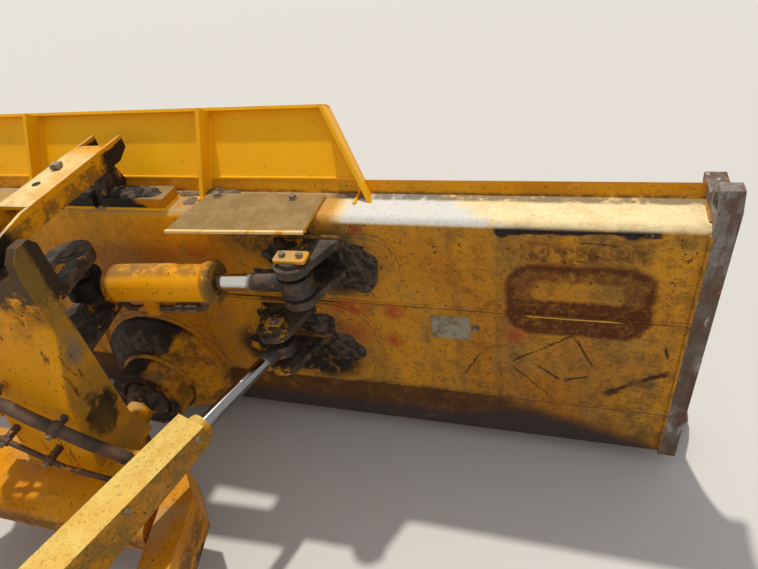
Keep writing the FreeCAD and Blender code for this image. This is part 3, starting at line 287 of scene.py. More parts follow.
# %% [markdown]
# ## Paint
# All the plates wear the same yellow, and each part adds its own wear. Old paint is not one
# colour: it is deeper where oil has soaked in, paler where it has chalked, brown under a film of
# dirt, and it flakes to rust at edges and in small chips. One material for each part would say all
# that many times. So the paint is written once, in layers, with numbers for how much dirt, dust,
# haze and oil a part carries and how fresh its coat is. The fresh yellow is partly painted light:
# it also brightens parts that catch more sun and sky. It reflects little, so its specular level
# is low.

# %% Paint
YELLOW = (0.72, 0.305, 0.004, 1)
DEEP_YELLOW = (0.52, 0.185, 0.003, 1)
PALE_YELLOW = (0.80, 0.45, 0.055, 1)
FRESH_AND_LIT_YELLOW = (0.90, 0.375, 0.004, 1)
DUST = (0.42, 0.30, 0.15, 1)
HAZE = (0.185, 0.120, 0.052, 1)
DIRT = (0.085, 0.050, 0.022, 1)
RUST = (0.095, 0.026, 0.010, 1)
STEEL = (0.25, 0.225, 0.20, 1)
GREASE = (0.022, 0.017, 0.013, 1)


def paint(dirt=0.5, dust=0.3, oil=0.0, haze=0.0, fresh=0.0, marks=None):
    """Worn yellow paint. marks yields layers: a colour, a mask and what it adds to the roughness."""
    broad, fine = noise(1.7, 6.0, roughness=0.62), noise(10.0, 9.0, roughness=0.70)
    speck, grit = noise(70.0, 3.0, shift=2.0), noise(190.0, 2.0)
    runs = noise(7.0, 6.0, stretch=(1.0, 1.0, 0.16), shift=5.0)
    colour = mix(step(broad, 0.36, 0.60), DEEP_YELLOW, YELLOW)
    colour = mix(step(fine, 0.50, 0.70) * 0.40, colour, PALE_YELLOW)
    colour = mix(step(fine, 0.46, 0.34) * 0.45, colour, DEEP_YELLOW)
    # Partly painted light: the fresh yellow also brightens parts that catch more sun and sky.
    if fresh:
        colour = mix(fresh, colour, FRESH_AND_LIT_YELLOW)
    if haze:
        veil = haze * (0.55 + 0.9 * step(fine * 0.5 + runs * 0.5, 0.42, 0.60))
        colour = mix(Socket.math("MINIMUM", veil, 0.9), colour, HAZE)
    film = step(fine * 0.7 + broad * 0.5 + runs * 0.35, 0.95 - dirt * 0.25, 1.10 - dirt * 0.15)
    film = film * (0.55 + dirt * 0.4)
    colour = mix(film, colour, DIRT)
    settled = step(facing("Z"), 0.45, 0.95) * step(noise(5.0, 7.0, shift=1.0), 0.66 - dust * 0.5,
                                                   0.80 - dust * 0.4)
    colour = mix(settled * min(0.95, 0.45 + dust * 0.5), colour, DUST)
    peppered = step(noise(95.0, 5.0, shift=12.0, roughness=0.7), 0.60 - dirt * 0.05, 0.66)
    colour = mix(peppered * min(0.8, dirt), colour, DIRT)
    chips = step(speck, 0.665, 0.70)
    colour = mix(chips, colour, RUST)
    edges = worn_edges(0.005, noise(28.0, 5.0))
    colour = mix(edges * 0.75, colour, mix(step(grit, 0.4, 0.6), RUST, STEEL))
    height = grit * 0.12 - chips * 0.35 + film * 0.30 + broad * 0.3 + settled * 0.2
    rough = 0.42 + film * 0.30 + settled * 0.28
    if oil:
        soaked = step(noise(3.2, 6.0, shift=4.0), 0.67 - oil * 0.30, 0.73 - oil * 0.30)
        colour = mix(soaked, colour, GREASE)
        rough = rough - soaked * 0.10
    for tint, mask, rougher in (marks() if marks else ()):
        colour = mix(mask, colour, tint)
        rough = rough + mask * rougher
        height = height - mask * 0.25
    return colour, rough, 0.0, height


def painted(look, name, marks=None, **amounts):
    """A finish of paint with a part's own marks on it."""
    finish(look, "paint_" + name, lambda: paint(marks=marks, **amounts), Specular_IOR_Level=0.12)


painted("plain", "plain", dirt=0.45, dust=0.5)

# %% [markdown]
# ## The rear face
# The face tells its story by place, and its marks are drawn in the order in which they came, so
# that later ones lie on top. Chance alone would put them anywhere. All of them share where the
# shaded point is, a coarse and a fine noise that make their outlines ragged, and a mask of the
# rear side, because the same material covers tops and edges too.


# %% What the marks on the face share
class RearFace:
    """The shaded point, also unsteady as u and v, two noises, and a mask of the rear side."""

    def __init__(self):
        self.x, self.y, self.z = place()
        self.ragged = noise(16.0, 9.0, roughness=0.72)
        self.mottle = noise(58.0, 9.0, shift=13.0, roughness=0.8)
        self.wobble = (self.ragged - 0.5) * 0.10
        self.rear = step(self.y, 0.04, 0.01)
        self.u = self.x + (self.ragged - 0.5) * 0.035
        self.v = self.z + (self.mottle - 0.5) * 0.030


face_layers = []


def on_the_face(draw):
    """Keep a function that draws marks on the face, in the order of the cells."""
    face_layers.append(draw)
    print("face layer %d: %s" % (len(face_layers), draw.__name__))
    return draw


print("marked face: %.1f m wide, %.2f m high" % (2 * FACE_END, BEAM_TOP))

# %% [markdown]
# The oldest marks come first. Behind the tilt cylinder and under its bracket the paint is still
# bright, and further out it is grimy and finely mottled. One even coat would look new, and one
# noise over the whole face would look the same everywhere, so each patch has its place.

# %% Bright and grimy paint
BRIGHT_YELLOW = (0.88, 0.375, 0.004, 1)
GRIME = (0.150, 0.072, 0.014, 1)


@on_the_face
def bright_and_grimy(face):
    x, z, ragged, wobble = face.x, face.z, face.ragged, face.wobble
    bright = step(z + wobble, 0.84, 0.93) * step(x + wobble, 0.80, 0.66) * step(x, -0.50, -0.20)
    bright = bright.either(step(x + wobble, 0.74, 0.60) * step(x + wobble, 0.30, 0.42) * 0.45)
    yield BRIGHT_YELLOW, bright * (0.45 + 0.35 * step(ragged, 0.60, 0.40)) * face.rear, 0.0
    grimy = step(noise(20.0, 9.0, shift=15.0, roughness=0.8), 0.47, 0.60)
    yield GRIME, grimy * step(x + wobble, 1.02, 1.35) * 0.55 * face.rear, 0.15
    yield DIRT, step(face.mottle, 0.555, 0.62) * 0.55 * face.rear, 0.15


# %% [markdown]
# A plate was once fixed near the right end. What is left is the outline of its rust: a brown field
# round a clean inner rectangle, a darker line where its rim lay, a dark band under it and a streak
# above, and one bright scrape across. Two distances to rounded boxes give all of it, because a
# line round a box is where its distance is small.

# %% Rusty outline of a lost plate
BROWN_RUST = (0.165, 0.058, 0.014, 1)


@on_the_face
def lost_plate(face):
    x, z, ragged, mottle, wobble = face.x, face.z, face.ragged, face.mottle, face.wobble
    ring = box(x, z, 1.385, 1.80, 0.605, 0.880, 0.085) + wobble * 0.5 + (mottle - 0.5) * 0.05
    inner = box(x, z, 1.463, 1.714, 0.747, 0.815, 0.01) + wobble * 0.3
    field = step(ring, 0.014, -0.012) * step(inner, -0.008, 0.012)
    yield BROWN_RUST, field * (0.35 + 0.60 * step(mottle, 0.40, 0.54)) * face.rear, 0.25
    rim_line = step(abs(ring + 0.012), 0.020, 0.003) * (0.45 + 0.55 * step(ragged, 0.36, 0.54))
    low_band = step(z, 0.752, 0.738) * step(ring, 0.004, -0.006)
    low_band = low_band * (0.45 + 0.5 * step(mottle, 0.42, 0.54))
    yield RUST, rim_line.either(low_band) * step(inner, -0.004, 0.010) * 0.88 * face.rear, 0.25
    streak = step(box(x, z, 1.43, 1.77, 0.885, 0.955, 0.03) + wobble, 0.030, -0.030)
    yield RUST, streak * step(mottle * 0.5 + ragged * 0.5, 0.43, 0.55) * 0.80 * face.rear, 0.2
    runs = noise(9.0, 7.0, stretch=(3.2, 1.0, 0.10), shift=3.0, roughness=0.7)
    smear = between(x, 1.20, 1.40) * step(runs, 0.46, 0.60)
    yield DIRT, smear * 0.22 * face.rear, 0.15
    scrape = step(abs(z - 0.676 + wobble * 0.02), 0.0045, 0.0025) * between(x, 1.43, 1.73)
    yield PALE_YELLOW, scrape * 0.8 * face.rear, 0.1


# %% [markdown]
# Years of work have scratched the face. Thin grooves in the mesh would cost many faces and show
# no better, so scratches are strokes from one place to another, bent a little by the noises.
# The long one near the end plate is an arc: its height is first straightened by a square. Dirt has
# also caught under the two weld seams.

# %% Scratches and seams
SCRATCH = (0.055, 0.026, 0.012, 1)
ARC_TOP_X, ARC_BEND = 1.79, 1.6
SCRATCHES = (((1.395, 0.461), (1.593, 0.611), 0.005), ((1.600, 0.590), (1.655, 0.475), 0.006),
             ((1.470, 0.470), (1.565, 0.395), 0.005), ((1.565, 0.395), (1.655, 0.430), 0.005),
             ((1.395, 0.450), (1.520, 0.320), 0.004), ((1.300, 0.500), (1.235, 0.370), 0.004),
             ((1.850, 0.600), (1.870, 0.530), 0.005))


@on_the_face
def scratched(face):
    x, z, u, v, ragged = face.x, face.z, face.u, face.v, face.ragged
    bent = (x - ARC_TOP_X) * (x - ARC_TOP_X) * ARC_BEND
    lines = stroke(u, v + bent, (1.705, 0.360), (1.885, 0.490), 0.012)
    lines = lines.either(stroke(u, v, (1.690, 0.335), (1.745, 0.385), 0.020))
    for start, end, width in SCRATCHES:
        lines = lines.either(stroke(u, v, start, end, width))
    lines = lines.either(disc(x, z, 1.800, 0.415, 0.045, 0.02, 0.5) * 0.6)
    yield SCRATCH, lines * (0.35 + 0.6 * step(ragged, 0.36, 0.52)) * face.rear, 0.1
    seams = step(abs(z - (UPPER_SEAM - 0.0075)), 0.004, 0.002)
    seams = seams.either(step(abs(z - (LOWER_SEAM - 0.0075)), 0.005, 0.0025))
    yield DIRT, seams * step(ragged, 0.36, 0.48) * 0.8 * face.rear, 0.2


# %% [markdown]
# Mud dries along the foot of the blade, a brown stain above and caked grey at the bottom. It is
# too thin for a piece of its own, so it is a mask below a line. The line is level at first and
# slopes down towards the end plate.

# %% Dried mud
BROWN_MUD = (0.070, 0.030, 0.014, 1)
GREY_MUD = (0.052, 0.043, 0.043, 1)


@on_the_face
def muddy_foot(face):
    x, z, ragged, mottle, wobble = face.x, face.z, face.ragged, face.mottle, face.wobble
    below = step(z + wobble, 0.60, 0.30) * step(ragged + (0.5 - z) * 0.25, 0.54, 0.70)
    yield DIRT, below * 0.45 * face.rear, 0.3
    slope = 0.284 - (x - 1.36).either(0.0) * 0.33
    soft = 0.010 + step(x, 1.25, 1.55) * 0.045
    edge = (z + wobble * 0.6 + (mottle - 0.5) * 0.10 - slope) / soft
    stain = step(edge, 1.0, -1.2) * (0.55 + 0.35 * step(ragged, 0.3, 0.5))
    yield BROWN_MUD, stain * face.rear, 0.35
    share = 0.62 + step(x, 1.20, 1.55) * 0.30
    lowest = step(z + wobble * 0.9 - slope * share, 0.030, -0.050) * step(x, 1.94, 1.82)
    yield GREY_MUD, lowest * (0.70 + 0.25 * step(ragged, 0.34, 0.54)) * face.rear, 0.35


# %% [markdown]
# Red overspray shows round the lower bracket, a brown film lies round both brackets, and grease
# has been flung off the pins. Splashes have no outline worth drawing, so each is a few soft discs,
# the larger of them at every point, torn by the noise.

# %% Overspray, film and grease
RED = (0.36, 0.040, 0.018, 1)
BROWN_FILM = (0.070, 0.045, 0.026, 1)


@on_the_face
def sprayed_and_greased(face):
    x, z, ragged = face.x, face.z, face.ragged
    spots = disc(x, z, 1.016, 0.650, 0.034, 0.024).either(disc(x, z, 1.002, 0.516, 0.030, 0.022))
    spots = spots.either(disc(x, z, 0.865, 0.560, 0.060, 0.050) * 0.7)
    spots = spots.either(disc(x, z, 1.411, 0.590, 0.030, 0.027) * 0.8)
    spots = spots.either(disc(x, z, 0.860, 0.660, 0.070, 0.050, 0.45) * 0.9)
    spots = spots.either(disc(x, z, 0.935, 0.980, 0.016, 0.012))
    yield RED, spots * step(ragged, 0.30, 0.50) * 0.80, 0.1
    film = disc(x, z, 0.66, 0.935, 0.19, 0.09, 0.30)
    film = film.either(disc(x, z, 0.80, 0.88, 0.17, 0.11, 0.62))
    film = film.either(disc(x, z, 0.70, 0.50, 0.17, 0.12, 0.72))
    yield BROWN_FILM, film * (0.45 + 0.45 * step(face.mottle, 0.40, 0.56)) * face.rear, 0.15
    oily = disc(x, z, 0.86, 0.83, 0.115, 0.04, 0.9) * step(ragged, 0.33, 0.44)
    oily = oily.either(disc(x, z, 0.70, 0.40, 0.16, 0.05, 0.62) * step(ragged, 0.36, 0.47))
    oily = oily.either(disc(x, z, 0.47, 0.44, 0.09, 0.04) * step(ragged, 0.40, 0.52))
    yield GREASE, oily * step(face.y, -0.30, -0.02).either(face.rear), -0.08


# %% [markdown]
# Last comes a black scuff along the beam's rear edge, thick and thin by turns, with two blots and
# a fine scratch under it. It is a band round a height whose half width is itself a slow noise. With
# it the face is complete.

# %% Scuff, and the finish of the face
BLACK_RUB = (0.025, 0.016, 0.018, 1)
SCUFF_Z = 0.996


@on_the_face
def scuffed(face):
    x, z, wobble = face.x, face.z, face.wobble
    thick = 0.011 + (noise(7.0, 4.0, shift=18.0) - 0.5) * 0.045
    scuff = step(abs(z - SCUFF_Z + wobble * 0.14) - thick, 0.003, -0.003)
    scuff = scuff * between(x + wobble, 1.36, 1.80)
    scuff = scuff.either(disc(x, z, 1.715, 0.990, 0.022, 0.010, 0.6))
    scuff = scuff.either(stroke(face.u, face.v, (1.575, 0.962), (1.690, 0.955), 0.004) * 0.8)
    scuff = scuff.either(disc(x, z, 1.375, 0.992, 0.022, 0.006))
    yield BLACK_RUB, scuff * step(face.ragged, 0.34, 0.42), 0.1


def face_marks():
    """All the marks on the rear face, the oldest first."""
    face = RearFace()
    for draw in face_layers:
        yield from draw(face)


painted("face", "rear_face", face_marks, dirt=0.72, dust=0.4, haze=0.34)

# %% [markdown]
# ## The upper beam
# The beam's top is in the sun. Right of the tilt cylinder's shield it has chalked to a pale
# yellow, and next to the shield a grey-white patch of dried concrete dust covers it. Dark mud has
# caught along the lip in front, and left of the shield plain dust lies in patches. The beam's
# rear side continues the face, so its material starts with the marks of the face and adds to them.

# %% Beam
CHALK = (0.84, 0.67, 0.37, 1)
CONCRETE_DUST = (0.64, 0.62, 0.58, 1)


def beam_marks():
    yield from face_marks()
    x, y, z = place()
    ragged = noise(19.0, 9.0, shift=9.0, roughness=0.72)
    wobble = (ragged - 0.5) * 0.16
    ledge = step(z, 1.006, 1.015)
    sunny = step(z, 0.996, 1.010)
    chalk = sunny * step(x, 0.84, 0.90) * (0.72 + 0.26 * step(ragged, 0.34, 0.56))
    yield CHALK, chalk, 0.3
    edge = noise(30.0, 6.0, shift=14.0) - 0.5
    patch = sunny * step(x + edge * 0.12, 0.885, 0.900)
    patch = patch * step(x + edge * 0.25 + (y - 0.06) * 1.4, 1.32, 1.24)
    yield CONCRETE_DUST, patch * step(ragged, 0.20, 0.34) * 0.95, 0.35
    specks = step(noise(120.0, 5.0, shift=7.0, roughness=0.7), 0.61, 0.66) * sunny
    yield DIRT, specks * 0.5, 0.2
    caught = step(y + wobble * 0.20, 0.104, 0.122) * ledge * step(ragged, 0.34, 0.50)
    yield DIRT, caught * 0.75, 0.3
    left = step(x, 0.86, 0.80) * ledge * step(ragged, 0.34, 0.50)
    yield DUST, left * 0.8, 0.3


painted("beam", "beam", beam_marks, dirt=0.60, dust=0.3, haze=0.30)

# %% [markdown]
# ## Moldboard and guard
# The moldboard's front is scoured to bare steel by what rolls up it. A second material could
# cover the worn part, but the change is gradual, so the wear follows the height and the side that
# a point faces. The guard above is hardly touched, and its paint is made yellower and brighter as
# painted sunlight and sheen on its leaning plate. The shield's lip faces the sun and has chalked.

# %% Moldboard, guard and shield's lip
GUARD_PAINTED_SUNLIGHT = (0.95, 0.47, 0.006, 1)
CHALKED_EDGE = (0.82, 0.60, 0.27, 1)


def mold_marks():
    x, y, z = place()
    ragged = noise(14.0, 8.0, shift=3.0, roughness=0.7)
    forward = facing("Y")
    front = step(forward, 0.0, 0.3)
    streaks = noise(9.0, 7.0, stretch=(0.3, 1.0, 1.0), shift=2.0)
    worn = front * step(z + (ragged - 0.5) * 0.5, 0.98, 0.80)
    yield STEEL, worn * step(streaks, 0.36, 0.50) * 0.9, -0.05
    yield RUST, worn * step(noise(6.0, 8.0, shift=6.0), 0.52, 0.66) * 0.7, 0.25
    yield DIRT, front * step(z + (ragged - 0.5) * 0.3, 0.40, 0.12) * 0.6, 0.3
    caught = step(z + (ragged - 0.5) * 0.03, 1.030, 1.020) * step(forward, 0.3, 0.0)
    yield DIRT, caught * step(ragged, 0.38, 0.52) * 0.8, 0.3


# Painted sunlight and sheen: the whole guard is made yellower and brighter, as if its leaning plate caught
# the sun.
def guard_painted_sunlight():
    yield GUARD_PAINTED_SUNLIGHT, 0.70 + 0.2 * step(noise(4.0, 5.0, shift=6.0), 0.4, 0.6), 0.0


def lip_marks():
    yield CHALKED_EDGE, step(noise(20.0, 7.0, shift=2.0), 0.30, 0.50) * 0.85, 0.2


painted("mold", "moldboard", mold_marks, dirt=0.45, dust=0.3)
# The guard's fresh amount is part of its painted sunlight too.
painted("guard", "guard", guard_painted_sunlight, dirt=0.12, dust=0.1, fresh=0.4)
painted("pale", "pale_lip", lip_marks, dirt=0.1, dust=0.0)

# %% [markdown]
# ## Tower and push frame
# The tower's head is black with the link's grease, its right side has gone khaki and has a splat
# of grease, and its rear is scratched by whatever was dragged over it. Its sides are told apart by
# place, because one node holds them all. Fine scratches would look like rain if they were spread
# evenly, so a second noise gathers them. Below, the frame has a band of dirt across its rear and a
# dark foot.

# %% Tower and frame
KHAKI = (0.26, 0.160, 0.032, 1)
DRIED_SPOT = (0.20, 0.16, 0.11, 1)
DARK_SCRATCH = (0.05, 0.025, 0.010, 1)
DARK_FOOT = (0.05, 0.030, 0.015, 1)


def broken():
    """Patches that gather fine marks into groups."""
    return noise(4.5, 5.0, shift=11.0)


def tower_marks():
    x, y, z = place()
    ragged = noise(13.0, 9.0, shift=4.0, roughness=0.72)
    wobble = (ragged - 0.5) * 0.35
    head = step(z + wobble + (y + 0.47) * 0.5, 0.995, 1.035)
    yield GREASE, head * 0.94, -0.06
    below = step(z + wobble, 0.86, 1.02) * step(ragged, 0.38, 0.54)
    yield DIRT, below * 0.6, 0.2
    right = step(x, 0.145, 0.149)
    khaki = right * step(noise(5.0, 8.0, shift=8.0), 0.30, 0.55)
    yield KHAKI, khaki * 0.72, 0.15
    splat = disc(y + wobble * 0.45, z - wobble * 0.50, -0.49, 0.575, 0.070, 0.014, 1.2) * right
    splat = splat * step(ragged, 0.36, 0.44) * (0.75 + 0.2 * step(broken(), 0.4, 0.6))
    front = step(y + wobble * 0.12, -0.425, -0.405) * right * step(z, 0.80, 0.95)
    yield GREASE, splat.either(front * 0.9), -0.05
    spot = disc(y + wobble * 0.3, z, -0.46, 0.83, 0.035, 0.02, 1.5) * right * step(ragged, 0.40, 0.52)
    yield DRIED_SPOT, spot * 0.8, 0.1
    scratches = noise(34.0, 5.0, stretch=(1.0, 1.0, 0.22), shift=1.0, roughness=0.7)
    rear = step(y, -0.46, -0.48) * step(scratches, 0.565, 0.62) * step(broken(), 0.46, 0.56)
    yield DARK_SCRATCH, rear * 0.8, 0.1


def frame_marks():
    x, y, z = place()
    ragged = noise(15.0, 9.0, shift=6.0, roughness=0.72)
    wobble = (ragged - 0.5) * 0.12
    band = step(abs(z - 0.335 + wobble), 0.050, 0.020) * step(y, -0.60, -0.70) * step(ragged, 0.36, 0.5)
    yield DIRT, band * 0.75, 0.25
    yield DARK_FOOT, step(z + wobble, 0.30, 0.24) * step(ragged, 0.34, 0.5) * 0.8, 0.3


# Partly painted light: the tower's fresh amount brightens it as if it caught more sky.
painted("tower", "tower", tower_marks, dirt=0.20, dust=0.2, fresh=0.65)
painted("frame", "frame", frame_marks, dirt=0.55, dust=0.3, oil=0.15)

# %% [markdown]
# ## Socket and top link
# Grease is pressed out of the socket round the ball. It could be drawn by hand, but the socket is
# round, so its marks follow the distance from the ball's axis: black inside as painted shade in the
# hollow, greasy at the rim, and black on its upper left as a painted shadow. The top link is black
# at both ends, dirty at its sides and pale with dust on top.

# %% Socket and link
DUSTY_TOP = (0.80, 0.62, 0.30, 1)


def socket_marks():
    x, y, z = place()
    ragged = noise(15.0, 9.0, shift=2.0, roughness=0.72)
    wobble = (ragged - 0.5) * 0.08
    dx, dz = x, z - BALL_Z
    radius = (dx * dx + dz * dz).root()
    # Painted shade: the socket's hollow round the ball is drawn black.
    inside = step(radius + wobble * 0.2, 0.112, 0.104) * step(y, -0.10, -0.13)
    # Painted shadow: the socket's upper left is drawn black.
    upper_left = step(dz - dx * 0.7 + wobble * 1.6, 0.09, 0.14)
    upper_left_painted_shadow = upper_left * step(ragged, 0.30, 0.42)
    rim = step(abs(radius - 0.126 + wobble * 0.3), 0.026, 0.014) * step(y, -0.19, -0.21)
    yield DIRT, step(ragged, 0.42, 0.60) * 0.75, 0.2
    # The grease colour is real grease at the rim, and painted shade inside and on the upper left.
    yield GREASE, inside.either(upper_left_painted_shadow).either(rim * step(ragged, 0.36, 0.52)), -0.06


def link_marks():
    x, y, z = place()
    ragged = noise(15.0, 9.0, shift=7.0, roughness=0.72)
    wobble = (ragged - 0.5) * 0.14
    fork = step(y + wobble, 0.035, 0.085) * step(z + wobble * 0.2, 1.203, 1.194)
    rear = step(y + wobble, -0.33, -0.38)
    side = step(z, 1.196, 1.185) * step(ragged, 0.40, 0.56)
    yield DIRT, side * 0.7, 0.2
    front = step(y, 0.10, 0.115) * step(z + wobble, 1.195, 1.180)
    yield GREASE, fork.either(rear).either(front), -0.05
    dusty = noise(13.0, 8.0, shift=2.0, roughness=0.7)
    top = step(facing("Z"), 0.8, 0.95) * (0.35 + 0.45 * step(dusty, 0.38, 0.6))
    yield DUSTY_TOP, top * step(y, 0.10, 0.0), 0.2


painted("socket", "socket", socket_marks, dirt=0.9, dust=0.5)
painted("link", "link", link_marks, dirt=0.35, dust=0.45)

# %% [markdown]
# ## Cylinders, covers and shelves
# The tilt barrel is fairly fresh, with its yellow lifted partly as painted light, dirty on top, with
# rust and grease where it meets its base and a brown gland. The angle cylinders' covers hold pale
# dust on top and a brown film with dark grime at their sides. The flat shield and boxes hold the
# most dust, and the boxes are black with grease from the link's fork. Dust falls from above, so which
# way a surface faces decides where it lies, and no list of surfaces is needed.

# %% Barrel, cover and shelf
BROWN_GLAND = (0.16, 0.095, 0.030, 1)
BROWN_RIM = (0.17, 0.100, 0.030, 1)
COVER_DUST = (0.72, 0.52, 0.135, 1)
COVER_FILM = (0.21, 0.135, 0.036, 1)
SHELF_DUST = (0.24, 0.155, 0.060, 1)


def barrel_marks():
    x, y, z = place()
    ragged = noise(17.0, 9.0, shift=5.0, roughness=0.72)
    wobble = (ragged - 0.5) * 0.14
    top = step(facing("Z") + wobble, 0.72, 0.95) * step(ragged, 0.34, 0.54)
    yield DIRT, top * 0.60, 0.25
    foot = step(x + wobble * 0.4, 0.150, 0.125) * step(ragged, 0.30, 0.48)
    yield RUST, foot * 0.9, 0.2
    yield GREASE, step(x + wobble * 0.3, 0.105, 0.090), -0.05
    gland = step(x, 0.480, 0.490)
    yield BROWN_GLAND, gland * step(ragged, 0.34, 0.56) * 0.85, 0.2
    yield BROWN_RIM, step(x, 0.4985, 0.5005) * step(ragged, 0.30, 0.50) * 0.8, 0.1


def cover_marks():
    upward = facing("Z")
    dusty = noise(11.0, 9.0, shift=3.0, roughness=0.72)
    top = step(upward, 0.6, 0.9)
    yield COVER_DUST, top * (0.55 + 0.35 * step(dusty, 0.38, 0.58)), 0.2
    yield COVER_FILM, step(upward, 0.5, 0.2) * (0.35 + 0.50 * step(dusty, 0.42, 0.58)), 0.2
    grime = step(noise(110.0, 6.0, shift=4.0, roughness=0.75), 0.54, 0.64)
    yield DIRT, grime * (0.75 - top * 0.30), 0.1


def shelf_marks():
    x, y, z = place()
    ragged = noise(12.0, 8.0, shift=8.0, roughness=0.7)
    top = step(facing("Z"), 0.6, 0.9)
    yield SHELF_DUST, top * (0.55 + 0.4 * step(ragged, 0.35, 0.6)), 0.35
    wobble = (ragged - 0.5) * 0.25
    black = step(x + wobble + (z - 1.03) * 1.2, 0.215, 0.165) * step(x + wobble, -0.24, -0.18)
    yield GREASE, black, -0.02


# Partly painted light: the barrel's fresh amount brightens it as if it caught more sky.
painted("barrel", "barrel", barrel_marks, dirt=0.08, dust=0.2, fresh=0.70)
painted("cover", "cover", cover_marks, dirt=0.35, dust=0.30)
painted("shelf", "shelf", shelf_marks, dirt=0.4, dust=0.9)

# %% [markdown]
# ## Grease and dirt
# Old grease is a black paste full of grit: lumpy, dull where grit has caked it brown, and on the
# parts it covers a few flakes of paint still show. A smooth glossy black would look like new oil,
# so its bump is strong and its roughness changes with a fine noise. Where it is packed in thick
# lumps there is no paint left. A hole's mouth is a near-black disc, painted shade for the hole's
# depth, and dry dirt is the same lumps without the shine.

# %% Grease and dirt
CAKED = (0.095, 0.068, 0.044, 1)
PAINT_FLAKE = (0.62, 0.26, 0.004, 1)
HOLE_PAINTED_SHADE = (0.012, 0.010, 0.008, 1)
LIGHT_DIRT, DARK_DIRT = (0.20, 0.14, 0.08, 1), (0.10, 0.065, 0.035, 1)


def grease():
    lumps, fine = noise(24.0, 7.0, roughness=0.65), noise(120.0, 4.0)
    colour = mix(step(lumps, 0.44, 0.62), GREASE, CAKED)
    flakes = step(noise(11.0, 8.0, shift=3.0, roughness=0.72), 0.580, 0.600)
    colour = mix(flakes * 0.9, colour, PAINT_FLAKE)
    brown = step(noise(5.0, 6.0, shift=9.0), 0.46, 0.60)
    colour = mix(brown * (1.0 - flakes) * 0.5, colour, CAKED)
    return colour, 0.50 + fine * 0.35, 0.0, lumps * 1.8 + fine * 0.5 - flakes * 0.3


def packed_grease():
    lumps, fine = noise(34.0, 7.0, roughness=0.65), noise(150.0, 4.0)
    colour = mix(step(lumps, 0.42, 0.60), GREASE, CAKED)
    return colour, 0.50 + fine * 0.40, 0.0, lumps * 2.0 + fine * 0.5


# Painted shade: a near-black disc stands for the dark inside of a hole.
def hole():
    return HOLE_PAINTED_SHADE, 0.85, 0.0, noise(150.0) * 0.5


def dry_dirt():
    lumps = noise(45.0, 7.0, roughness=0.7)
    colour = mix(step(lumps, 0.42, 0.62), LIGHT_DIRT, DARK_DIRT)
    return colour, 0.92, 0.0, lumps * 2.0


finish("grease", "grease", grease, Specular_IOR_Level=0.25)
finish("packed", "packed_grease", packed_grease, Specular_IOR_Level=0.2)
finish("hole", "hole_painted_shade", hole)
finish("dirt", "dry_dirt", dry_dirt)

# %% [markdown]
# ## Steel
# The end plates and cutting edges are worn steel: rusty brown, with bright rubs and islands of
# the old paint. Bare steel mirrors its surroundings and rust doesn't, so the metallic value falls
# where rust or paint covers it, and no second shader has to be mixed in. The steel pipes were
# painted once and are now mostly brown. Bolt heads are plated and dull, and the small label plate
# is aluminium with nothing on it.

# %% Steel, pipe, bolts and label plate
BROWN_STEEL, BRIGHT_STEEL = (0.13, 0.088, 0.058, 1), (0.42, 0.40, 0.37, 1)
PIT_BLACK = (0.04, 0.03, 0.022, 1)
PIPE_RUST, PIPE_BLACK = (0.10, 0.045, 0.022, 1), (0.045, 0.026, 0.018, 1)
ZINC, DIRTY_ZINC = (0.27, 0.22, 0.15, 1), (0.13, 0.088, 0.050, 1)
TIN, DIRTY_TIN = (0.30, 0.27, 0.20, 1), (0.20, 0.14, 0.06, 1)


def steel():
    broad = noise(3.0, 7.0, roughness=0.65)
    fine = noise(26.0, 8.0, stretch=(1, 1, 0.35), roughness=0.68)
    colour = mix(step(broad, 0.40, 0.60), STEEL, BROWN_STEEL)
    colour = mix(step(fine, 0.46, 0.62) * 0.75, colour, RUST)
    bright = step(noise(40.0, 6.0, stretch=(1, 1, 0.25), shift=4.0), 0.60, 0.68)
    colour = mix(bright * 0.8, colour, BRIGHT_STEEL)
    islands = step(noise(4.2, 9.0, shift=7.0, roughness=0.72), 0.57, 0.60)
    colour = mix(islands * 0.9, colour, DEEP_YELLOW)
    colour = mix(step(noise(160.0, 2.0), 0.6, 0.66) * 0.6, colour, PIT_BLACK)
    shine = 0.55 - step(fine, 0.46, 0.62) * 0.35 - islands * 0.5
    return colour, 0.46 + fine * 0.35, shine.either(0.0), fine + noise(160.0, 2.0) * 0.4


def pipe():
    ragged = noise(16.0, 8.0, roughness=0.7)
    colour = mix(step(ragged, 0.44, 0.56), PIPE_RUST, PIPE_BLACK)
    colour = mix(step(noise(9.0, 8.0, shift=3.0), 0.58, 0.62), colour, DEEP_YELLOW)
    return colour, 0.5 + ragged * 0.3, 0.0, ragged * 0.8


def zinc():
    ragged = noise(60.0, 6.0, roughness=0.65)
    colour = mix(step(ragged, 0.42, 0.60), ZINC, DIRTY_ZINC)
    return colour, 0.45 + ragged * 0.3, 0.45, ragged * 0.5


def tin():
    ragged = noise(22.0, 8.0, roughness=0.7)
    colour = mix(step(ragged, 0.42, 0.58), TIN, DIRTY_TIN)
    return colour, 0.45 + ragged * 0.35, 0.25, ragged * 0.35


finish("steel", "worn_steel", steel)
finish("pipe", "rusty_pipe", pipe)
finish("zinc", "plated_bolt", zinc)
finish("tin", "blank_plate", tin)

# %% [markdown]
# ## Rods and rubber
# A rod is chrome only where it slides: its neck is rusty and its eye is packed with grease. The
# rod is one node, so it can't wear two materials, and a mask says where it is covered. The two
# angle rods' chrome is darker, a painted reflection of dark surroundings. The hose's rubber is dusty
# brown.

# %% Rods and rubber
OIL_SMEAR, OLD_NECK = (0.12, 0.09, 0.06, 1), (0.10, 0.045, 0.020, 1)
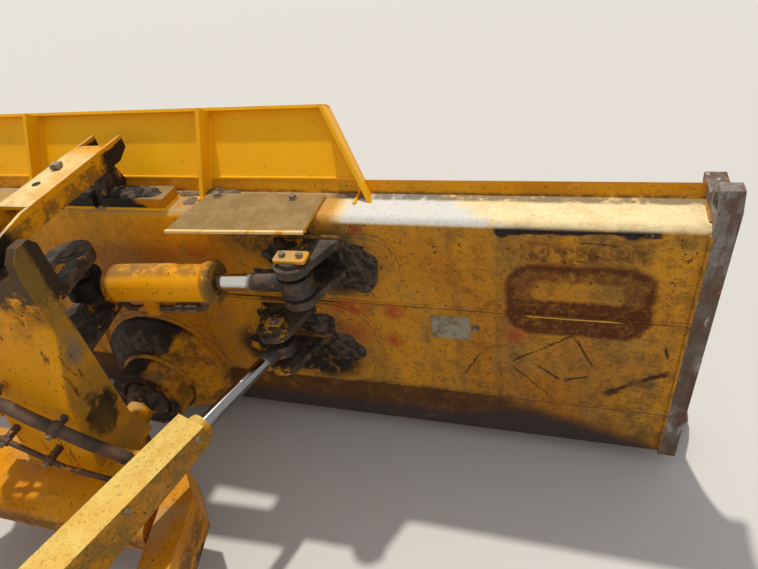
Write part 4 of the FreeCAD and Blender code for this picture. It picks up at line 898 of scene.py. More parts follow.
# The angle rods' darker chrome colour is a painted reflection of dark surroundings.
LIGHT_CHROME, CHROME_WITH_PAINTED_DARK_REFLECTION = (0.60, 0.57, 0.52, 1), (0.24, 0.23, 0.23, 1)
RUBBER, DUSTY_RUBBER = (0.030, 0.018, 0.012, 1), (0.115, 0.060, 0.030, 1)


def rod_finish(covered, chrome):
    """Chrome, and rust and grease where covered is 1."""
    smear = noise(9.0, 6.0, roughness=0.6)
    film = step(smear, 0.55, 0.68) * 0.45
    colour = mix(film, chrome, OIL_SMEAR)
    ragged = noise(20.0, 8.0, shift=2.0, roughness=0.7)
    old = mix(step(ragged, 0.40, 0.52), OLD_NECK, GREASE)
    old = mix(step(noise(9.0, 8.0, shift=5.0, roughness=0.72), 0.575, 0.60), old, DEEP_YELLOW)
    colour = mix(covered, colour, old)
    rough = (0.10 + film * 0.5) * (1.0 - covered) + covered * (0.35 + ragged * 0.4)
    return colour, rough, 1.0 - covered, covered * ragged * 1.2 + noise(300.0, 2.0) * 0.03


def tilt_rod_finish():
    x, y, z = place()
    return rod_finish(step(x, 0.612, 0.634), LIGHT_CHROME)


def angle_rod_finish():
    x, y, z = place()
    du, dv = abs(x) - ANGLE_EYE[0], y - ANGLE_EYE[1]
    # Painted reflection: the darker chrome stands for dark surroundings mirrored in the rod.
    return rod_finish(step((du * du + dv * dv).root(), 0.100, 0.088), CHROME_WITH_PAINTED_DARK_REFLECTION)


def rubber():
    dusty = noise(8.0, 7.0, roughness=0.65)
    rib = noise(200.0, 2.0)
    colour = mix(step(dusty, 0.42, 0.62), RUBBER, DUSTY_RUBBER)
    return colour, 0.62 + dusty * 0.25, 0.0, dusty * 0.4 + rib * 0.15


finish("tilt_rod", "tilt_rod", tilt_rod_finish)
finish("angle_rod", "angle_rod", angle_rod_finish)
finish("rubber", "hose_rubber", rubber)

# %% [markdown]
# ## Which part wears what
# A node of the packed model keeps its shape and only gets a material. Written as a table from
# finish to parts, it shows at a glance which parts look alike.

# %% Dress the nodes
worn_by = {
    "face": "back_plate bottom_beam bracket_doublers centre_doubler",
    "beam": "top_beam",
    "mold": "moldboard",
    "guard": "spill_guard guard_ribs guard_flanges",
    "shelf": "tilt_shield link_boxes",
    "socket": "ball_socket",
    "tower": "frame_tower",
    "frame": "frame_crossmember frame_nose frame_arm_R frame_arm_L trunnion_eye_R trunnion_eye_L "
             "angle_base_R angle_base_L lift_lugs_R lift_lugs_L",
    "cover": "angle_R_cover angle_L_cover angle_R_barrel angle_L_barrel angle_R_gland angle_L_gland",
    "plain": "line_blocks tilt_line_clamp",
    "barrel": "tilt_barrel tilt_gland",
    "link": "top_link",
    "grease": "centre_ball link_stud link_base tilt_pin angle_R_pin angle_L_pin pin_caps "
              "tilt_ears angle_ears_R angle_ears_L link_ear tilt_base_lugs",
    "steel": "cutting_edges end_bit_R end_bit_L end_plate_R end_plate_L",
    "tilt_rod": "tilt_rod",
    "angle_rod": "angle_R_rod angle_L_rod",
    "rubber": "hydraulic_hose",
    "pipe": "hydraulic_tube hose_clamps tilt_line",
}
dressed = set()
for look, names in worn_by.items():
    for name in names.split():
        materials = nodes[name].data.materials
        if materials:
            materials[0] = looks[look]
        else:
            materials.append(looks[look])
        dressed.add(name)
print("nodes without a finish:", sorted(set(nodes) - dressed))

# %% [markdown]
# ## Meshes from arrays
# Beads, bolts and lumps could be modelled by hand or put together from ready-made shapes. Here a
# new piece is one or more surfaces, each a grid of points worked out with numpy: the rows run
# along it and the columns run round it. That keeps every seam where the formula says. `Piece` turns
# grids into faces, closes their ends and puts everything into one mesh whose points are already in
# place.

# %% Grids to meshes
EDGE_BEVEL = 0.0008


class Piece:
    """Grids of points that become one mesh."""

    def __init__(self):
        self.points, self.faces, self.count = [], [], 0

    def add(self, grid, ring=False):
        """A grid whose columns close on themselves. Its rows close too if ring, or else get caps."""
        rows, columns = grid.shape[:2]
        index = np.arange(rows * columns).reshape(rows, columns) + self.count
        if ring:
            index = np.vstack([index, index[:1]])
        right = np.roll(index, -1, axis=1)
        quads = np.stack([index[:-1], right[:-1], right[1:], index[1:]], axis=-1)
        self.faces += quads.reshape(-1, 4).tolist()
        if not ring:
            self.faces += [index[0, ::-1].tolist(), index[-1].tolist()]
        self.points.append(grid.reshape(-1, 3))
        self.count += rows * columns
        return self

    def finish(self, name, body, look, slot, smooth=True):
        """Make the object and let it ride on a body; slot is not used."""
        mesh = bpy.data.meshes.new(name)
        mesh.from_pydata(np.concatenate(self.points).tolist(), [], self.faces)
        mesh.validate()
        mesh.polygons.foreach_set("use_smooth", np.full(len(mesh.polygons), smooth))
        mesh.materials.append(looks[look])
        made = bpy.data.objects.new(name, mesh)
        bpy.context.collection.objects.link(made)
        if not smooth:
            bevel = made.modifiers.new("edges", "BEVEL")
            bevel.width, bevel.segments, bevel.limit_method = EDGE_BEVEL, 2, "ANGLE"
        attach(made, body)
        print("%-22s %6d faces" % (name, len(mesh.polygons)))
        return made


print("a grid of 3 by 4 points makes", len(Piece().add(np.zeros((3, 4, 3))).faces), "faces")

# %% [markdown]
# A weld follows a path, and nothing made by hand is even. These helpers give the directions across
# a path, spread points evenly along it and make a slow unevenness. A sum of a few sines is used for
# that, because it is smooth at any spacing and the same on every run.

# %% Paths and ripples
X, Y, Z = np.eye(3)
REAR, UPWARD = (0, -1, 0), (0, 0, 1)


def unit(vectors):
    return vectors / np.linalg.norm(vectors, axis=-1, keepdims=True)


def frame_along(path, normal, closed=False):
    """Directions across a path: one to its side and one as near to normal as can be."""
    if closed:
        ahead_of = np.roll(path, -1, axis=0) - np.roll(path, 1, axis=0)
    else:
        ahead_of = np.gradient(path, axis=0)
    ahead_of = unit(ahead_of)
    side = unit(np.cross(ahead_of, np.broadcast_to(normal, path.shape)))
    return side, np.cross(side, ahead_of)


def spaced(path, gap):
    """The same path with points a given gap apart, and how far along it each point is."""
    run = np.concatenate([[0], np.cumsum(np.linalg.norm(np.diff(path, axis=0), axis=1))])
    marks = np.linspace(0, run[-1], max(3, int(run[-1] / gap)))
    return np.stack([np.interp(marks, run, path[:, i]) for i in range(3)], axis=1), marks


def ripple(u, v, seed, waves=7, size=90.0):
    """A smooth random surface, mostly from -1 to 1: a sum of sines with fixed seeds."""
    draw = np.random.default_rng(seed)
    turns, phases = draw.normal(0, size, (waves, 2)), draw.uniform(0, 2 * np.pi, waves)
    total = sum(np.sin(u * a + v * b + p) for (a, b), p in zip(turns, phases))
    return total / waves ** 0.5 / 1.4


print("a ripple reaches %.2f" % abs(ripple(np.linspace(0, 1, 200), 0.0, seed=1)).max())

# %% [markdown]
# ## Weld beads
# Plates that meet on this blade are joined by fillet welds. A bump map can fake their ripples, but
# not the shadow line along a seam, so the beads are real. A bead is an oval carried along the seam,
# half sunk in the steel, and its radius swells with each puddle:
# r(s) = radius (1 + 0.16 |sin(pi s / puddle)| + a little slow noise).

# %% Beads
PUDDLE = 0.013
SWELL, UNEVEN = 0.16, 0.10
BEAD_SIDES = 8
SUNK = 0.0005


def bead(path, normal, radius=0.006, ring=False, seed=1):
    """A weld bead along a path, on a surface that faces along normal."""
    path, run = spaced(np.asarray(path, float), PUDDLE / 2)
    if ring:
        path, run = path[:-1], run[:-1]
    side, up = frame_along(path, normal, ring)
    swell = 1 + SWELL * np.abs(np.sin(np.pi * run / PUDDLE)) + UNEVEN * ripple(run, run, seed, size=40)
    around = np.linspace(0, 2 * np.pi, BEAD_SIDES + 1)[:-1]
    across, out = np.cos(around) * radius, np.sin(around) * radius * 0.85
    oval = side[:, None] * across[:, None] + up[:, None] * out[:, None]
    return path[:, None] + oval * swell[:, None, None]


def loop(points):
    """A closed outline: its first point again at the end."""
    return np.concatenate([points, points[:1]])


def rounded(left, right, low, high, radius_left, radius_right):
    """An outline of a plate on the rear face, its left and right corners rounded."""
    arcs = []
    corners_of = ((right, high, radius_right, 0.0), (left, high, radius_left, 0.5),
                  (left, low, radius_left, 1.0), (right, low, radius_right, 1.5))
    for x, z, radius, start in corners_of:
        a = (start + np.linspace(0, 0.5, 9)) * np.pi
        cx = x - radius if x == right else x + radius
        cz = z - radius if z == high else z + radius
        arcs.append(np.stack([cx + radius * np.cos(a), cz + radius * np.sin(a)], axis=1))
    return loop(np.concatenate(arcs))


def ball_arc(radius, start, end, count):
    """An arc round the ball's axis, seen from behind, between two angles."""
    angle = np.linspace(start, end, count)
    return np.stack([radius * np.cos(angle), BALL_Z + radius * np.sin(angle)], axis=1)


def off_face(outline, back=SUNK * 2):
    """An outline of X and Z, laid on the rear face or that far behind it."""
    return at(outline[:, 0], -back, outline[:, 1])


print("a bead has %d sides and a puddle every %.0f mm" % (BEAD_SIDES, PUDDLE * 1000))

# %% [markdown]
# The beads of the rear face run along its two seams, round the doublers under the brackets, round
# the ears, round the socket's foot and collar, and down the inside of both end plates. All of them
# form one mesh, because they never move against each other.

# %% Beads of the face
DOUBLER = 0.012
PAD_X, PAD_LOW_Z, PAD_HIGH_Z, PAD_RADIUS = 0.781, 0.450, 0.507, 0.165
CENTRE_PAD_RADIUS, BOSS_RADIUS, COLLAR_RADIUS, COLLAR_BACK = 0.290, 0.273, 0.150, 0.119
welds = Piece()
for height in (UPPER_SEAM, LOWER_SEAM):
    seam = at(np.array([-1, 1]) * (FACE_END - 0.001), SUNK, height)
    welds.add(bead(seam, REAR, 0.005, seed=int(height * 99)))

tilt_pad = rounded(0.430, 1.062, 0.720, 0.956, 0.006, 0.100)
half_turn = np.linspace(-np.pi / 2, np.pi / 2, 25)
round_end = np.stack([PAD_X + PAD_RADIUS * np.cos(half_turn),
                      np.where(half_turn < 0, PAD_LOW_Z, PAD_HIGH_Z) + PAD_RADIUS * np.sin(half_turn)],
                     axis=1)
angle_pad = loop(np.concatenate([[(0.306, LOWER_SEAM), (PAD_X, LOWER_SEAM)], round_end,
                                 [(0.300, 0.672), (0.260, 0.480)]]))
welds.add(bead(off_face(tilt_pad), REAR, 0.007, ring=True, seed=3))
welds.add(bead(off_face(angle_pad), REAR, 0.007, ring=True, seed=4))
welds.add(bead(off_face(angle_pad * (-1, 1)), REAR, 0.007, ring=True, seed=5))
welds.add(bead(off_face(ball_arc(CENTRE_PAD_RADIUS, -0.20, np.pi + 0.20, 90)), REAR, 0.008, seed=6))
boss_edge = ball_arc(BOSS_RADIUS, -0.695, np.pi + 0.695, 120)
welds.add(bead(off_face(boss_edge, DOUBLER + 0.001), REAR, 0.008, seed=7))
collar_edge = ball_arc(COLLAR_RADIUS, 0, 2 * np.pi, 90)
welds.add(bead(off_face(collar_edge, COLLAR_BACK), REAR, 0.009, ring=True, seed=8))

ears = [(TILT_EYE[0], 0.112, low, 0.028) for low in (0.926, 0.806)]
ears += [(side_of * ANGLE_EYE[0], 0.104, low, 0.026) for side_of in (1, -1) for low in (0.644, 0.490)]
for x, half, low_z, thick in ears:
    ear = rounded(x - half - 0.002, x + half + 0.002, low_z - 0.002, low_z + thick + 0.002, 0.003, 0.003)
    ear_seed = int(x * 50 + low_z * 90)
    welds.add(bead(off_face(ear, DOUBLER + 0.001), REAR, 0.008, ring=True, seed=ear_seed))
for side_of in (-1, 1):
    down_plate = at(side_of * FACE_END, np.array([-0.001, -0.001]), np.array([0.10, 1.00]))
    along_beam = at(side_of * FACE_END, np.array([0.03, 0.128]), BEAM_TOP + SUNK)
    welds.add(bead(down_plate, (-side_of, 0, 0), 0.006, seed=20 + side_of))
    welds.add(bead(along_beam, UPWARD, 0.005, seed=22 + side_of))
welds.finish("face_welds", "blade", "face", "yellow_paint")

# %% [markdown]
# The guard stands on the moldboard's lip, and its ribs and end flanges stand on the beam. Their
# beads follow the moldboard, whose section is an arc:
# back(z) = 1.104 - sqrt(1.066^2 - (z - 0.551)^2).
# A path from the same formula keeps them on the steel. A rib has a bead on both sides and an end
# flange on its inner side only.

# %% Beads of the guard
MOLD_RADIUS, MOLD_CENTRE_Y, MOLD_CENTRE_Z = 1.066, 1.104, 0.551
LIP_Z = 1.056
GUARD_LEAN, GUARD_HEIGHT = math.radians(35), 0.205
HALF_RIB = 0.0075


def mold_back(z):
    """How far in front of the face's plane the moldboard's back is at a height."""
    return MOLD_CENTRE_Y - np.sqrt(MOLD_RADIUS ** 2 - (z - MOLD_CENTRE_Z) ** 2)


beads = Piece()
foot_line = at(np.array([-0.928, 0.928]), mold_back(LIP_Z) + 0.0045, LIP_Z + 0.0010)
beads.add(bead(foot_line, REAR, 0.0058, seed=30))
climb = np.linspace(0, GUARD_HEIGHT, 30)
foot_y = np.linspace(0.082, mold_back(BEAM_TOP) - 0.002, 12)
lip = np.linspace(BEAM_TOP + 0.001, LIP_Z, 10)
for x, spread in ((-0.365, 0), (0.365, 0), (-0.930, 0.55), (0.930, -0.55)):
    for thick in (-HALF_RIB, HALF_RIB):
        if spread and thick * x > 0:
            continue
        foot_x = x + thick * (2 if spread else 1)
        xs = np.concatenate([np.full(foot_y.size + lip.size, foot_x), foot_x + climb * spread])
        ys = np.concatenate([foot_y, mold_back(lip),
                             mold_back(LIP_Z) + 0.003 + climb * math.sin(GUARD_LEAN)])
        zs = np.concatenate([np.full(foot_y.size, BEAM_TOP + SUNK), lip,
                             LIP_Z + climb * math.cos(GUARD_LEAN)])
        rib_seed = int(40 + x * 9 + thick * 999)
        beads.add(bead(at(xs, ys, zs), (np.sign(thick), 0, 0), 0.006, seed=rib_seed))
for side_of in (-1, 1):
    box_line = at(side_of * np.array([0.024, 0.265, 0.265]), np.array([0.0235, 0.0235, 0.108]),
                  BEAM_TOP + SUNK)
    beads.add(bead(box_line, UPWARD, 0.006, seed=50 + side_of))
beads.finish("guard_welds", "blade", "guard", "yellow_paint")

# %% [markdown]
# On the push frame a heavy bead goes round the tower's foot, one along each arm where it leaves
# the crossmember, and one round each face of both trunnion eyes. They ride on the frame, not on
# the blade, so they are a piece of their own.

# %% Beads of the push frame
TOWER_X, CROSSMEMBER_TOP = 0.151, 0.4205
ARM_X, EYE_FACES, EYE_RADIUS = 0.399, (0.500, 0.600), 0.083
frame_beads = Piece()
tower_foot = at(np.array([TOWER_X, TOWER_X, TOWER_X - 0.02, -TOWER_X + 0.02, -TOWER_X, -TOWER_X]),
                np.array([-0.525, -0.600, -0.626, -0.626, -0.600, -0.525]), CROSSMEMBER_TOP)
frame_beads.add(bead(tower_foot, UPWARD, 0.009, seed=60))
full_turn = np.linspace(0, 2 * np.pi, 60)
for side_of in (-1, 1):
    arm_line = at(side_of * ARM_X, np.array([-0.525, -0.72]), CROSSMEMBER_TOP)
    frame_beads.add(bead(arm_line, UPWARD, 0.008, seed=61 + side_of))
    for eye_face in EYE_FACES:
        eye_ring = at(side_of * eye_face, -FACE_Y + EYE_RADIUS * np.cos(full_turn),
                      -GROUND_Z + EYE_RADIUS * np.sin(full_turn))
        frame_beads.add(bead(eye_ring, (side_of, 0, 0), 0.006, ring=True, seed=64 + side_of))
frame_beads.finish("frame_welds", "push_frame", "frame", "yellow_paint")

# %% [markdown]
# ## Bolts, nuts and small plates
# A bolt head could be a six-sided cylinder with bevelled edges, but the round chamfer on its top
# would be missing. So it is a surface of revolution whose radius depends on the angle too:
# r(a) = across / cos((a mod 60 deg) - 30 deg), cut off by a circle at the top. The same function
# with four corners gives the square head on the top link.


# %% Turned shapes and plates
def basis(normal):
    """Two directions across a normal, and the normal."""
    normal = unit(np.asarray(normal, float))
    helper = Z if abs(normal[2]) < 0.9 else X
    first = unit(np.cross(helper, normal))
    return first, np.cross(normal, first), normal


def stacked(spot, normal, radii, heights, corners=0, turned_by=0.0, columns=36):
    """Rows of a turned shape on a surface. With corners, rows with a negative radius have flats."""
    first, second, out = basis(normal)
    around = np.linspace(0, 2 * np.pi, columns + 1)[:-1]
    radii = np.asarray(radii, float)[:, None]
    if corners:
        half = np.pi / corners
        flats = 1 / np.cos((around + turned_by) % (2 * half) - half)
        radii = np.where(radii < 0, -radii * flats, radii)
    flat = first * np.cos(around)[:, None] + second * np.sin(around)[:, None]
    risen = np.asarray(heights, float)[:, None, None] * out
    return np.asarray(spot, float) + radii[..., None] * flat[None] + risen


def bolt(spot, normal, size=0.012, corners=6, turned_by=0.0, washer=True):
    """A bolt head, on a washer or not. size is half its width across flats."""
    flange = size * 1.65 if washer else size * 1.02
    return stacked(spot, normal,
                   [flange, flange, flange * 0.97, -size, -size, -size * 0.985, size * 0.93, size * 0.45],
                   [-0.003, size * 0.18, size * 0.24, size * 0.25, size * 1.0, size * 1.10, size * 1.2,
                    size * 1.21], corners, turned_by)


def slab(centre, right, up, half_width, half_height, thickness, round_by=0.004):
    """A small plate: a rounded outline carried outwards, with its edge broken."""
    centre, right, up = (np.asarray(v, float) for v in (centre, right, up))
    out = np.cross(right, up)
    around = np.linspace(0, 2 * np.pi, 41)[:-1]
    cu, cv = np.sign(np.cos(around)), np.sign(np.sin(around))
    rows = []
    for inset, height in ((0, -0.002), (0, thickness - 0.001), (0.001, thickness)):
        corner = round_by - inset
        u = cu * (half_width - round_by) + np.cos(around) * corner
        v = cv * (half_height - round_by) + np.sin(around) * corner
        rows.append(centre + u[:, None] * right + v[:, None] * up + out * height)
    return np.array(rows)


print("a bolt head has", bolt((0, 0, 0), UPWARD).shape[0], "rows")

# %% [markdown]
# Two bolts hold the shield, one more stands beside the label plate, and the pins are kept by small
# plates with bolts through them. Each head is turned by its own angle, as a fitter leaves them.

# %% Bolts and pin keepers
KEEPER_X, KEEPER_Y = 0.778, -0.138
LABEL_X, LABEL_Z = 1.2045, 0.601
bolts = Piece()
for x, y in ((0.425, 0.100), (0.704, 0.095)):
    bolts.add(bolt(at(x, y, BEAM_TOP + 0.010), UPWARD, 0.0105, turned_by=x * 9))
bolts.add(bolt(at(1.287, 0.0, LABEL_Z + 0.006), REAR, 0.009))
for x in (KEEPER_X - 0.028, KEEPER_X + 0.028):
    bolts.add(bolt(at(x, KEEPER_Y, 0.976), UPWARD, 0.0100, turned_by=x * 5, washer=False))
for side_of in (-1, 1):
    bolts.add(bolt(at(side_of * ANGLE_EYE[0], ANGLE_EYE[1], 0.686), UPWARD, 0.011, turned_by=0.3))
bolts.finish("blade_bolts", "blade", "zinc", "worn_steel", smooth=False)

caps = Piece()
caps.add(slab(at(KEEPER_X, KEEPER_Y, 0.968), X, Y, 0.052, 0.027, 0.008, 0.010))
for side_of in (-1, 1):
    caps.add(slab(at(side_of * ANGLE_EYE[0], ANGLE_EYE[1], 0.684), X, Y, 0.028, 0.020, 0.004, 0.006))
caps.add(slab(at(0.527, 0.0, 0.861), X, Z, 0.052, 0.010, 0.010, 0.004))
caps.finish("pin_keepers", "blade", "plain", "yellow_paint", smooth=False)

# %% [markdown]
# The label plate is blank here: a thin slab held by four domed rivets. A painted rectangle would
# have no edge to catch the light, so it is a piece.

# %% Label plate
LABEL_HALF_WIDTH, LABEL_HALF_HEIGHT, LABEL_THICK, RIVET_INSET = 0.064, 0.050, 0.0025, 0.008
label = Piece().add(slab(at(LABEL_X, 0.0, LABEL_Z), X, Z, LABEL_HALF_WIDTH, LABEL_HALF_HEIGHT,
                         LABEL_THICK, 0.005))
for dx in (RIVET_INSET - LABEL_HALF_WIDTH, LABEL_HALF_WIDTH - RIVET_INSET):
    for dz in (RIVET_INSET - LABEL_HALF_HEIGHT, LABEL_HALF_HEIGHT - RIVET_INSET):
        label.add(stacked(at(LABEL_X + dx, -LABEL_THICK, LABEL_Z + dz), REAR, [0.0036, 0.0034, 0.002],
                          [-0.001, 0.0012, 0.0020], columns=12))
label.finish("blank_label_plate", "blade", "tin", "worn_steel", smooth=False)

# %% [markdown]
# The shield over the tilt rod's eye is a plate with its rear edge bent down. A bevel can't make
# such a lip, because it hangs below the plate. So it is one profile carried along the edge, like
# the bent rim of any sheet.

# %% Lip of the shield
SHIELD_EDGE_Z = 1.023
LIP_PROFILE = np.array([(0.006, 0.0055), (-0.004, 0.0055), (-0.016, -0.0035), (-0.0205, -0.0075),
                        (-0.0215, -0.0105), (-0.0185, -0.0115), (-0.012, -0.0065), (0.006, -0.0035)])
rim = Piece()
edge_from, edge_to = at(0.343, -0.105, SHIELD_EDGE_Z), at(0.810, -0.085, SHIELD_EDGE_Z)
stations = np.linspace(0, 1, 12)[:, None, None]
outward = unit(np.cross(edge_to - edge_from, -Z))
section = LIP_PROFILE[:, :1] * -outward + LIP_PROFILE[:, 1:] * Z
rim.add(edge_from + (edge_to - edge_from) * stations + section[None])
rim.finish("shield_lip", "blade", "pale", "yellow_paint", smooth=False)

# %% [markdown]
# The cutting edges are held by plow bolts: domed heads in front, in pairs along each plate. They
# wear flat and rusty with the steel round them. The plates lean as the moldboard does at their
# height, so each bolt points along that lean, worked out from the arc and not measured.

# %% Plow bolts
EDGE_FOOT, EDGE_SPAN = 0.076, 0.150
MOLD_THICK, EDGE_THICK, EDGE_GAP = 0.016, 0.025, 0.001
edge_lean = math.atan2(float(mold_back(EDGE_FOOT) - mold_back(EDGE_FOOT + EDGE_SPAN)), EDGE_SPAN)
edge_out = np.array([0, math.cos(edge_lean), math.sin(edge_lean)])
edge_back_y = float(mold_back(EDGE_FOOT)) + MOLD_THICK / math.cos(edge_lean) + EDGE_GAP
seat_y = edge_back_y + EDGE_THICK / math.cos(edge_lean)
plow = Piece()
for x in np.concatenate([np.arange(-1.46, 1.47, 0.2433), [-1.82, -1.66, 1.66, 1.82]]):
    for z in (0.075, 0.175):
        spot = at(x, seat_y - (z - EDGE_FOOT) * math.tan(edge_lean), z)
        plow.add(stacked(spot, edge_out, [0.019, 0.019, 0.015, 0.008], [-0.002, 0.001, 0.0045, 0.0055],
                         columns=16))
plow.finish("plow_bolts", "blade", "steel", "worn_steel")

# %% [markdown]
# Each end bit's outer corner flares out beyond the end plate, so that the plate has clearance in
# the ground. The bits are nodes of the packed model and keep their shape, so the flare is added as
# a wedge that narrows to nothing at the bit's top: its outline on the bit's plane is carried
# through the bit's thickness.

# %% Corners of the end bits
CORNER_OUTLINE = np.array([(1.960, 0.000), (2.026, 0.000), (2.022, 0.040), (2.004, 0.100),
                           (1.976, 0.170), (1.957, 0.228), (1.940, 0.228), (1.940, 0.000)])
corners_out = Piece()
edge_side = np.array([0, -math.sin(edge_lean), math.cos(edge_lean)])
for side_of in (-1, 1):
    outline = CORNER_OUTLINE[::side_of]
    middle = outline.mean(axis=0)
    rows = []
    for inset, depth in ((0.002, -0.0002), (0, 0.002), (0, 0.024), (0.002, 0.0258)):
        flat = middle + (outline - middle) * (1 - inset / 0.09)
        spots = at(side_of * flat[:, 0], edge_back_y, 0.0) + edge_out * depth
        rows.append(spots + edge_side * (flat[:, 1:] - EDGE_FOOT) / math.cos(edge_lean) + Z * EDGE_FOOT)
    corners_out.add(np.array(rows))
corners_out.finish("end_bit_corners", "blade", "steel", "worn_steel", smooth=False)

# %% [markdown]
# ## Fittings on the cylinders and the link
# Hydraulic lines end in hexagonal nuts, and a bead closes the barrel at both ends. The barrel
# leans a little in two directions, so places on it are given along and across its own axis, which
# is simpler than turning finished pieces.

# %% Nuts and beads on the tilt cylinder
tilt_from, tilt_to = at(*TILT_BASE), at(*TILT_EYE)
along = unit(tilt_to - tilt_from)
down = unit(np.cross(along, np.cross(along, Z)))
behind = np.cross(along, down)
if behind[1] > 0:
    behind = -behind

nuts = Piece()
for ahead_by, length in ((0.335, 0.030), (0.372, 0.046)):
    spot = tilt_from + along * ahead_by + down * 0.085 + behind * 0.026
    nuts.add(stacked(spot, along, [0.0125, -0.0150, -0.0150, 0.0140, 0.0125],
                     [-0.002, 0.001, length - 0.002, length, length + 0.001], 6))
nuts.finish("tilt_line_nuts", "tilt_barrel", "zinc", "worn_steel", smooth=False)

barrel_rings = Piece()
for ahead_by, radius, thick in ((0.123, 0.0615, 0.006), (0.476, 0.063, 0.004)):
    round_barrel = np.cos(full_turn)[:, None] * down + np.sin(full_turn)[:, None] * behind
    hoop = tilt_from + along * ahead_by + radius * round_barrel
    barrel_rings.add(bead(hoop, along, thick, ring=True, seed=int(ahead_by * 999)))
barrel_rings.finish("barrel_welds", "tilt_barrel", "barrel", "yellow_paint")

# %% [markdown]
# The top link carries a square-headed bolt and, at its grease hole, a near-black disc: painted
# shade for the hole's depth. Each clamp of the hydraulic lines has a bolt, and the covers of the
# angle cylinders have three a side. They ride on different bodies, so no mesh holds the bolts of
# two bodies.

# %% Bolts on the link, the clamps and the covers
LINK_TOP = 1.212
COVER_UP, COVER_HALF = 0.053 - 0.016, 0.054
link_bolt = Piece()
link_bolt.add(bolt(at(-0.018, -0.045, LINK_TOP), UPWARD, 0.015, corners=4, turned_by=0.5, washer=False))
link_bolt.finish("link_bolt", "top_link", "zinc", "worn_steel", smooth=False)
# Painted shade: this near-black disc stands for the grease hole's dark depth.
link_hole = Piece()
link_hole.add(stacked(at(-0.020, -0.143, LINK_TOP), UPWARD, [0.014, 0.0135, 0.012, 0.010, 0.004],
                      [-0.001, 0.0010, 0.0014, 0.0006, 0.0005], columns=24))
link_hole.finish("link_grease_hole", "top_link", "hole", "greased_steel")

clamp_bolts = Piece()
for x, y, z in ((-0.070, -0.658, 0.7565), (0.130, -0.663, 0.6682), (-0.100, -0.6723, 0.5878),
                (0.040, -0.6768, 0.5228)):
    clamp_bolts.add(bolt(at(x, y, z), REAR, 0.0075, washer=False))
clamp_bolts.finish("clamp_bolts", "push_frame", "zinc", "worn_steel", smooth=False)

for side_of, letter, word in ((1, "R", "right"), (-1, "L", "left")):
    foot, eye = (at(side_of * x, y, z) for x, y, z in (ANGLE_BASE, ANGLE_EYE))
    run = unit(eye - foot)
    across = unit(np.cross(run, Z))
    lift = np.cross(across, run)
    cover_bolts = Piece()
    for ahead_by in (0.655, 0.40, 0.15):
        for hand in (-1, 1):
            spot = foot + run * ahead_by + lift * COVER_UP + across * hand * COVER_HALF
            cover_bolts.add(bolt(spot, across * hand, 0.0085, turned_by=ahead_by * 7, washer=False))
    cover_bolts.finish("angle_%s_cover_bolts" % letter, "angle_%s_barrel" % word, "zinc", "worn_steel",
                       smooth=False)

# %% [markdown]
# ## Grease and dirt with a body
# Where grease is pushed out of a joint it stands off the steel in lumps. Sculpting would give them
# too, but a formula can be stuck on any surface. A lump is a polar grid on the surface it sticks
# to. Its outline is ragged, R(a) = 1 + 0.26 ripple(a), and it bulges as depth (1 - r^2)^0.6, broken
# up by a second ripple.

# %% Lumps
LUMP_RAGGED = 0.26
BOSS_FOOT, BOSS_TOP = (0.272, 0.040), (0.148, 0.118)


def lump(ground, wide, tall, depth, seed):
    """A ragged dome on a surface. ground(u, v) gives points of the surface and which way is out."""
    r = np.linspace(0, 1, 16)[:, None]
    around = np.linspace(0, 2 * np.pi, 57)[:-1][None]
    ragged = 1 + LUMP_RAGGED * ripple(np.cos(around), np.sin(around), seed, size=2.6)
    u, v = r * np.cos(around) * wide * ragged, r * np.sin(around) * tall * ragged
    bulge = depth * (1 - r ** 2) ** 0.6 * (0.62 + 0.38 * ripple(u, v, seed + 1))
    bulge = bulge + depth * 0.10 * ripple(u, v, seed + 2, size=260.0) * (1 - r ** 4)
    bulge = np.where(r > 0.999, -0.0015, bulge)
    points, out = ground(u, v)
    outer = points + out * bulge[..., None]
    under = points[::-1] - out * 0.003
    return np.concatenate([outer[1:], under[:1]])


def flat_ground(centre, right, up):
    """A flat surface through a point."""
    centre, right, up = (np.asarray(q, float) for q in (centre, right, up))
    return lambda u, v: (centre + u[..., None] * right + v[..., None] * up, np.cross(right, up))


def boss_ground(angle, radius):
    """The socket's cone, a straight line from its foot to its top turned round the ball's axis."""
    (foot_radius, foot_back), (top_radius, top_back) = BOSS_FOOT, BOSS_TOP

    def ground(u, v):
        far = radius + v
        turned = angle + u / radius
        back = foot_back + (foot_radius - far) * (top_back - foot_back) / (foot_radius - top_radius)
        out = np.stack([np.cos(turned) * 0.53, np.full(u.shape, -0.85), np.sin(turned) * 0.53], axis=-1)
        return at(far * np.cos(turned), -back, BALL_Z + far * np.sin(turned)), out
    return ground


print("a lump has", lump(flat_ground((0, 0, 0), X, Y), 1, 1, 1, 0).shape[:2], "rows and columns")

# %% [markdown]
# The thickest grease lies on the doublers round the ears, on the socket's cone and on the boxes
# under the link's fork. Dry mud lies on the beam along the moldboard's lip. Chance would put lumps
# where nothing turns, so each has its place and size listed, and only its outline is random.

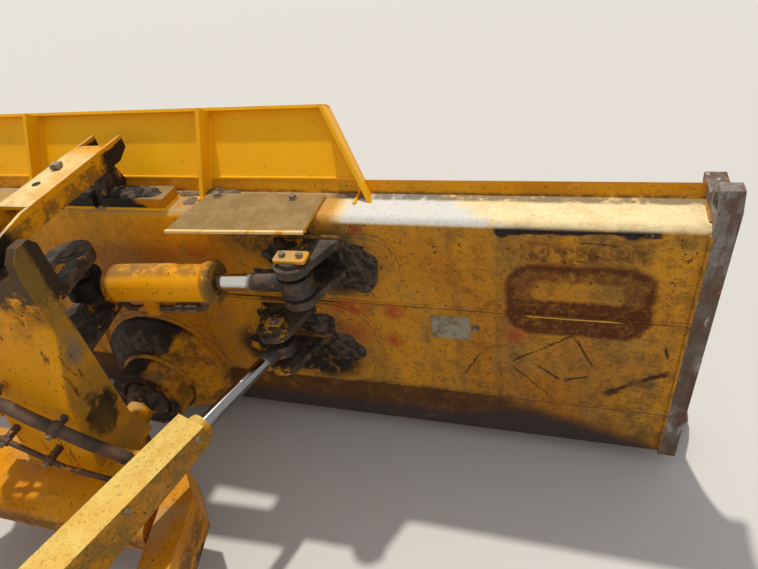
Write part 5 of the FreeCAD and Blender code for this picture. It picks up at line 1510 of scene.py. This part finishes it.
# %% Grease and mud
lumps = Piece()
for x, z, wide, tall, depth in (
        (0.925, 0.845, 0.080, 0.085, 0.007), (0.880, 0.925, 0.085, 0.026, 0.006),
        (0.800, 0.775, 0.085, 0.028, 0.014), (0.655, 0.875, 0.055, 0.050, 0.009),
        (0.600, 0.790, 0.060, 0.030, 0.006),
        (0.820, 0.470, 0.070, 0.060, 0.007), (0.720, 0.580, 0.090, 0.050, 0.014),
        (0.640, 0.455, 0.110, 0.034, 0.012), (0.540, 0.600, 0.045, 0.055, 0.008),
        (-0.640, 0.580, 0.110, 0.050, 0.018), (-0.640, 0.455, 0.090, 0.030, 0.014)):
    doubler = flat_ground(at(x, -DOUBLER, z), X, Z)
    lumps.add(lump(doubler, wide, tall, depth, int(x * 90 + z * 70) + 200))
for angle, radius, wide, tall in ((2.25, 0.215, 0.120, 0.050), (1.55, 0.205, 0.100, 0.040),
                                  (2.95, 0.205, 0.070, 0.035)):
    lumps.add(lump(boss_ground(angle, radius), wide, tall, 0.006, int(angle * 40)))
lumps.finish("grease_on_blade", "blade", "packed", "greased_steel")

BOX_TOP = 1.058
fork_lumps = Piece()
for x, y, wide, tall, depth in ((0.150, 0.060, 0.085, 0.036, 0.016), (0.070, 0.070, 0.040, 0.034, 0.024),
                                (-0.110, 0.070, 0.070, 0.032, 0.018)):
    fork_lumps.add(lump(flat_ground(at(x, y, BOX_TOP), X, Y), wide, tall, depth, int(x * 300) + 90))
fork_lumps.finish("grease_on_link_boxes", "blade", "packed", "greased_steel")

mud = Piece()
for x, y, wide, tall, depth in ((0.405, 0.130, 0.045, 0.026, 0.020), (0.455, 0.135, 0.040, 0.018, 0.012),
                                (0.300, 0.126, 0.060, 0.014, 0.010), (0.330, 0.080, 0.022, 0.030, 0.010),
                                (-0.395, 0.128, 0.035, 0.022, 0.014), (0.890, 0.130, 0.040, 0.014, 0.010)):
    mud.add(lump(flat_ground(at(x, y, BEAM_TOP), X, Y), wide, tall, depth, int(x * 500) + 400))
mud.finish("dry_mud", "blade", "dirt", "yellow_paint")

# %% [markdown]
# ## Floor
# The floor lies just under the blade's lower edge and keeps its shadow. A pattern on it would take
# the eye off the machine, so it is plain and pale.

# %% Floor
FLOOR_REACH, FLOOR_GREY = 14.0, (0.56, 0.54, 0.51, 1)
floor_mesh = bpy.data.meshes.new("floor")
corners = np.array([(-1, -1), (1, -1), (1, 1), (-1, 1)]) * FLOOR_REACH
floor_mesh.from_pydata([(x, y, GROUND_Z - 0.002) for x, y in corners], [], [(0, 1, 2, 3)])
floor = bpy.data.objects.new("floor", floor_mesh)
bpy.context.collection.objects.link(floor)


def floor_look():
    return FLOOR_GREY, 0.85, 0.0, noise(60.0) * 0.1


floor_mesh.materials.append(material("floor", floor_look))
print("floor: %.0f m square" % (2 * FLOOR_REACH))

# %% [markdown]
# ## Light
# The sun stands high in front of the blade and a little to its left, so tops and the leaning guard
# are lit and the rear face is in soft shade. Lamps round the object would fill that shade. For
# rays from the camera and for reflections the sky is pale at full strength, and as light on the
# object it is weaker.

# %% Light
SKY_LIGHT = 0.72
SKY_ON_OBJECT, SKY_SEEN = (0.80, 0.81, 0.83, 1), (0.86, 0.86, 0.85, 1)
world = bpy.data.worlds.new("studio")
bpy.context.scene.world = world
world.use_nodes = True
Socket.tree = world.node_tree
rays = Socket.node("LightPath").socket.node.outputs
seen = Socket(rays["Is Camera Ray"]).either(Socket(rays["Is Glossy Ray"]))
seen = seen.either(Socket(rays["Is Transmission Ray"]))
background = world.node_tree.nodes["Background"]
world.node_tree.links.new(mix(seen, SKY_ON_OBJECT, SKY_SEEN).socket, background.inputs["Color"])
world.node_tree.links.new((SKY_LIGHT + seen * (1.0 - SKY_LIGHT)).socket, background.inputs["Strength"])

sun_data = bpy.data.lights.new("sun", "SUN")
sun_data.energy = 2.7
sun_data.angle = math.radians(2)
sun_data.color = (1.0, 0.96, 0.88)
sun = bpy.data.objects.new("sun", sun_data)
sun.rotation_euler = Vector((0.20, -0.38, -1.0)).to_track_quat("-Z", "Y").to_euler()
bpy.context.collection.objects.link(sun)
print("sun %.1f, sky %.2f" % (sun_data.energy, SKY_LIGHT))

# %% [markdown]
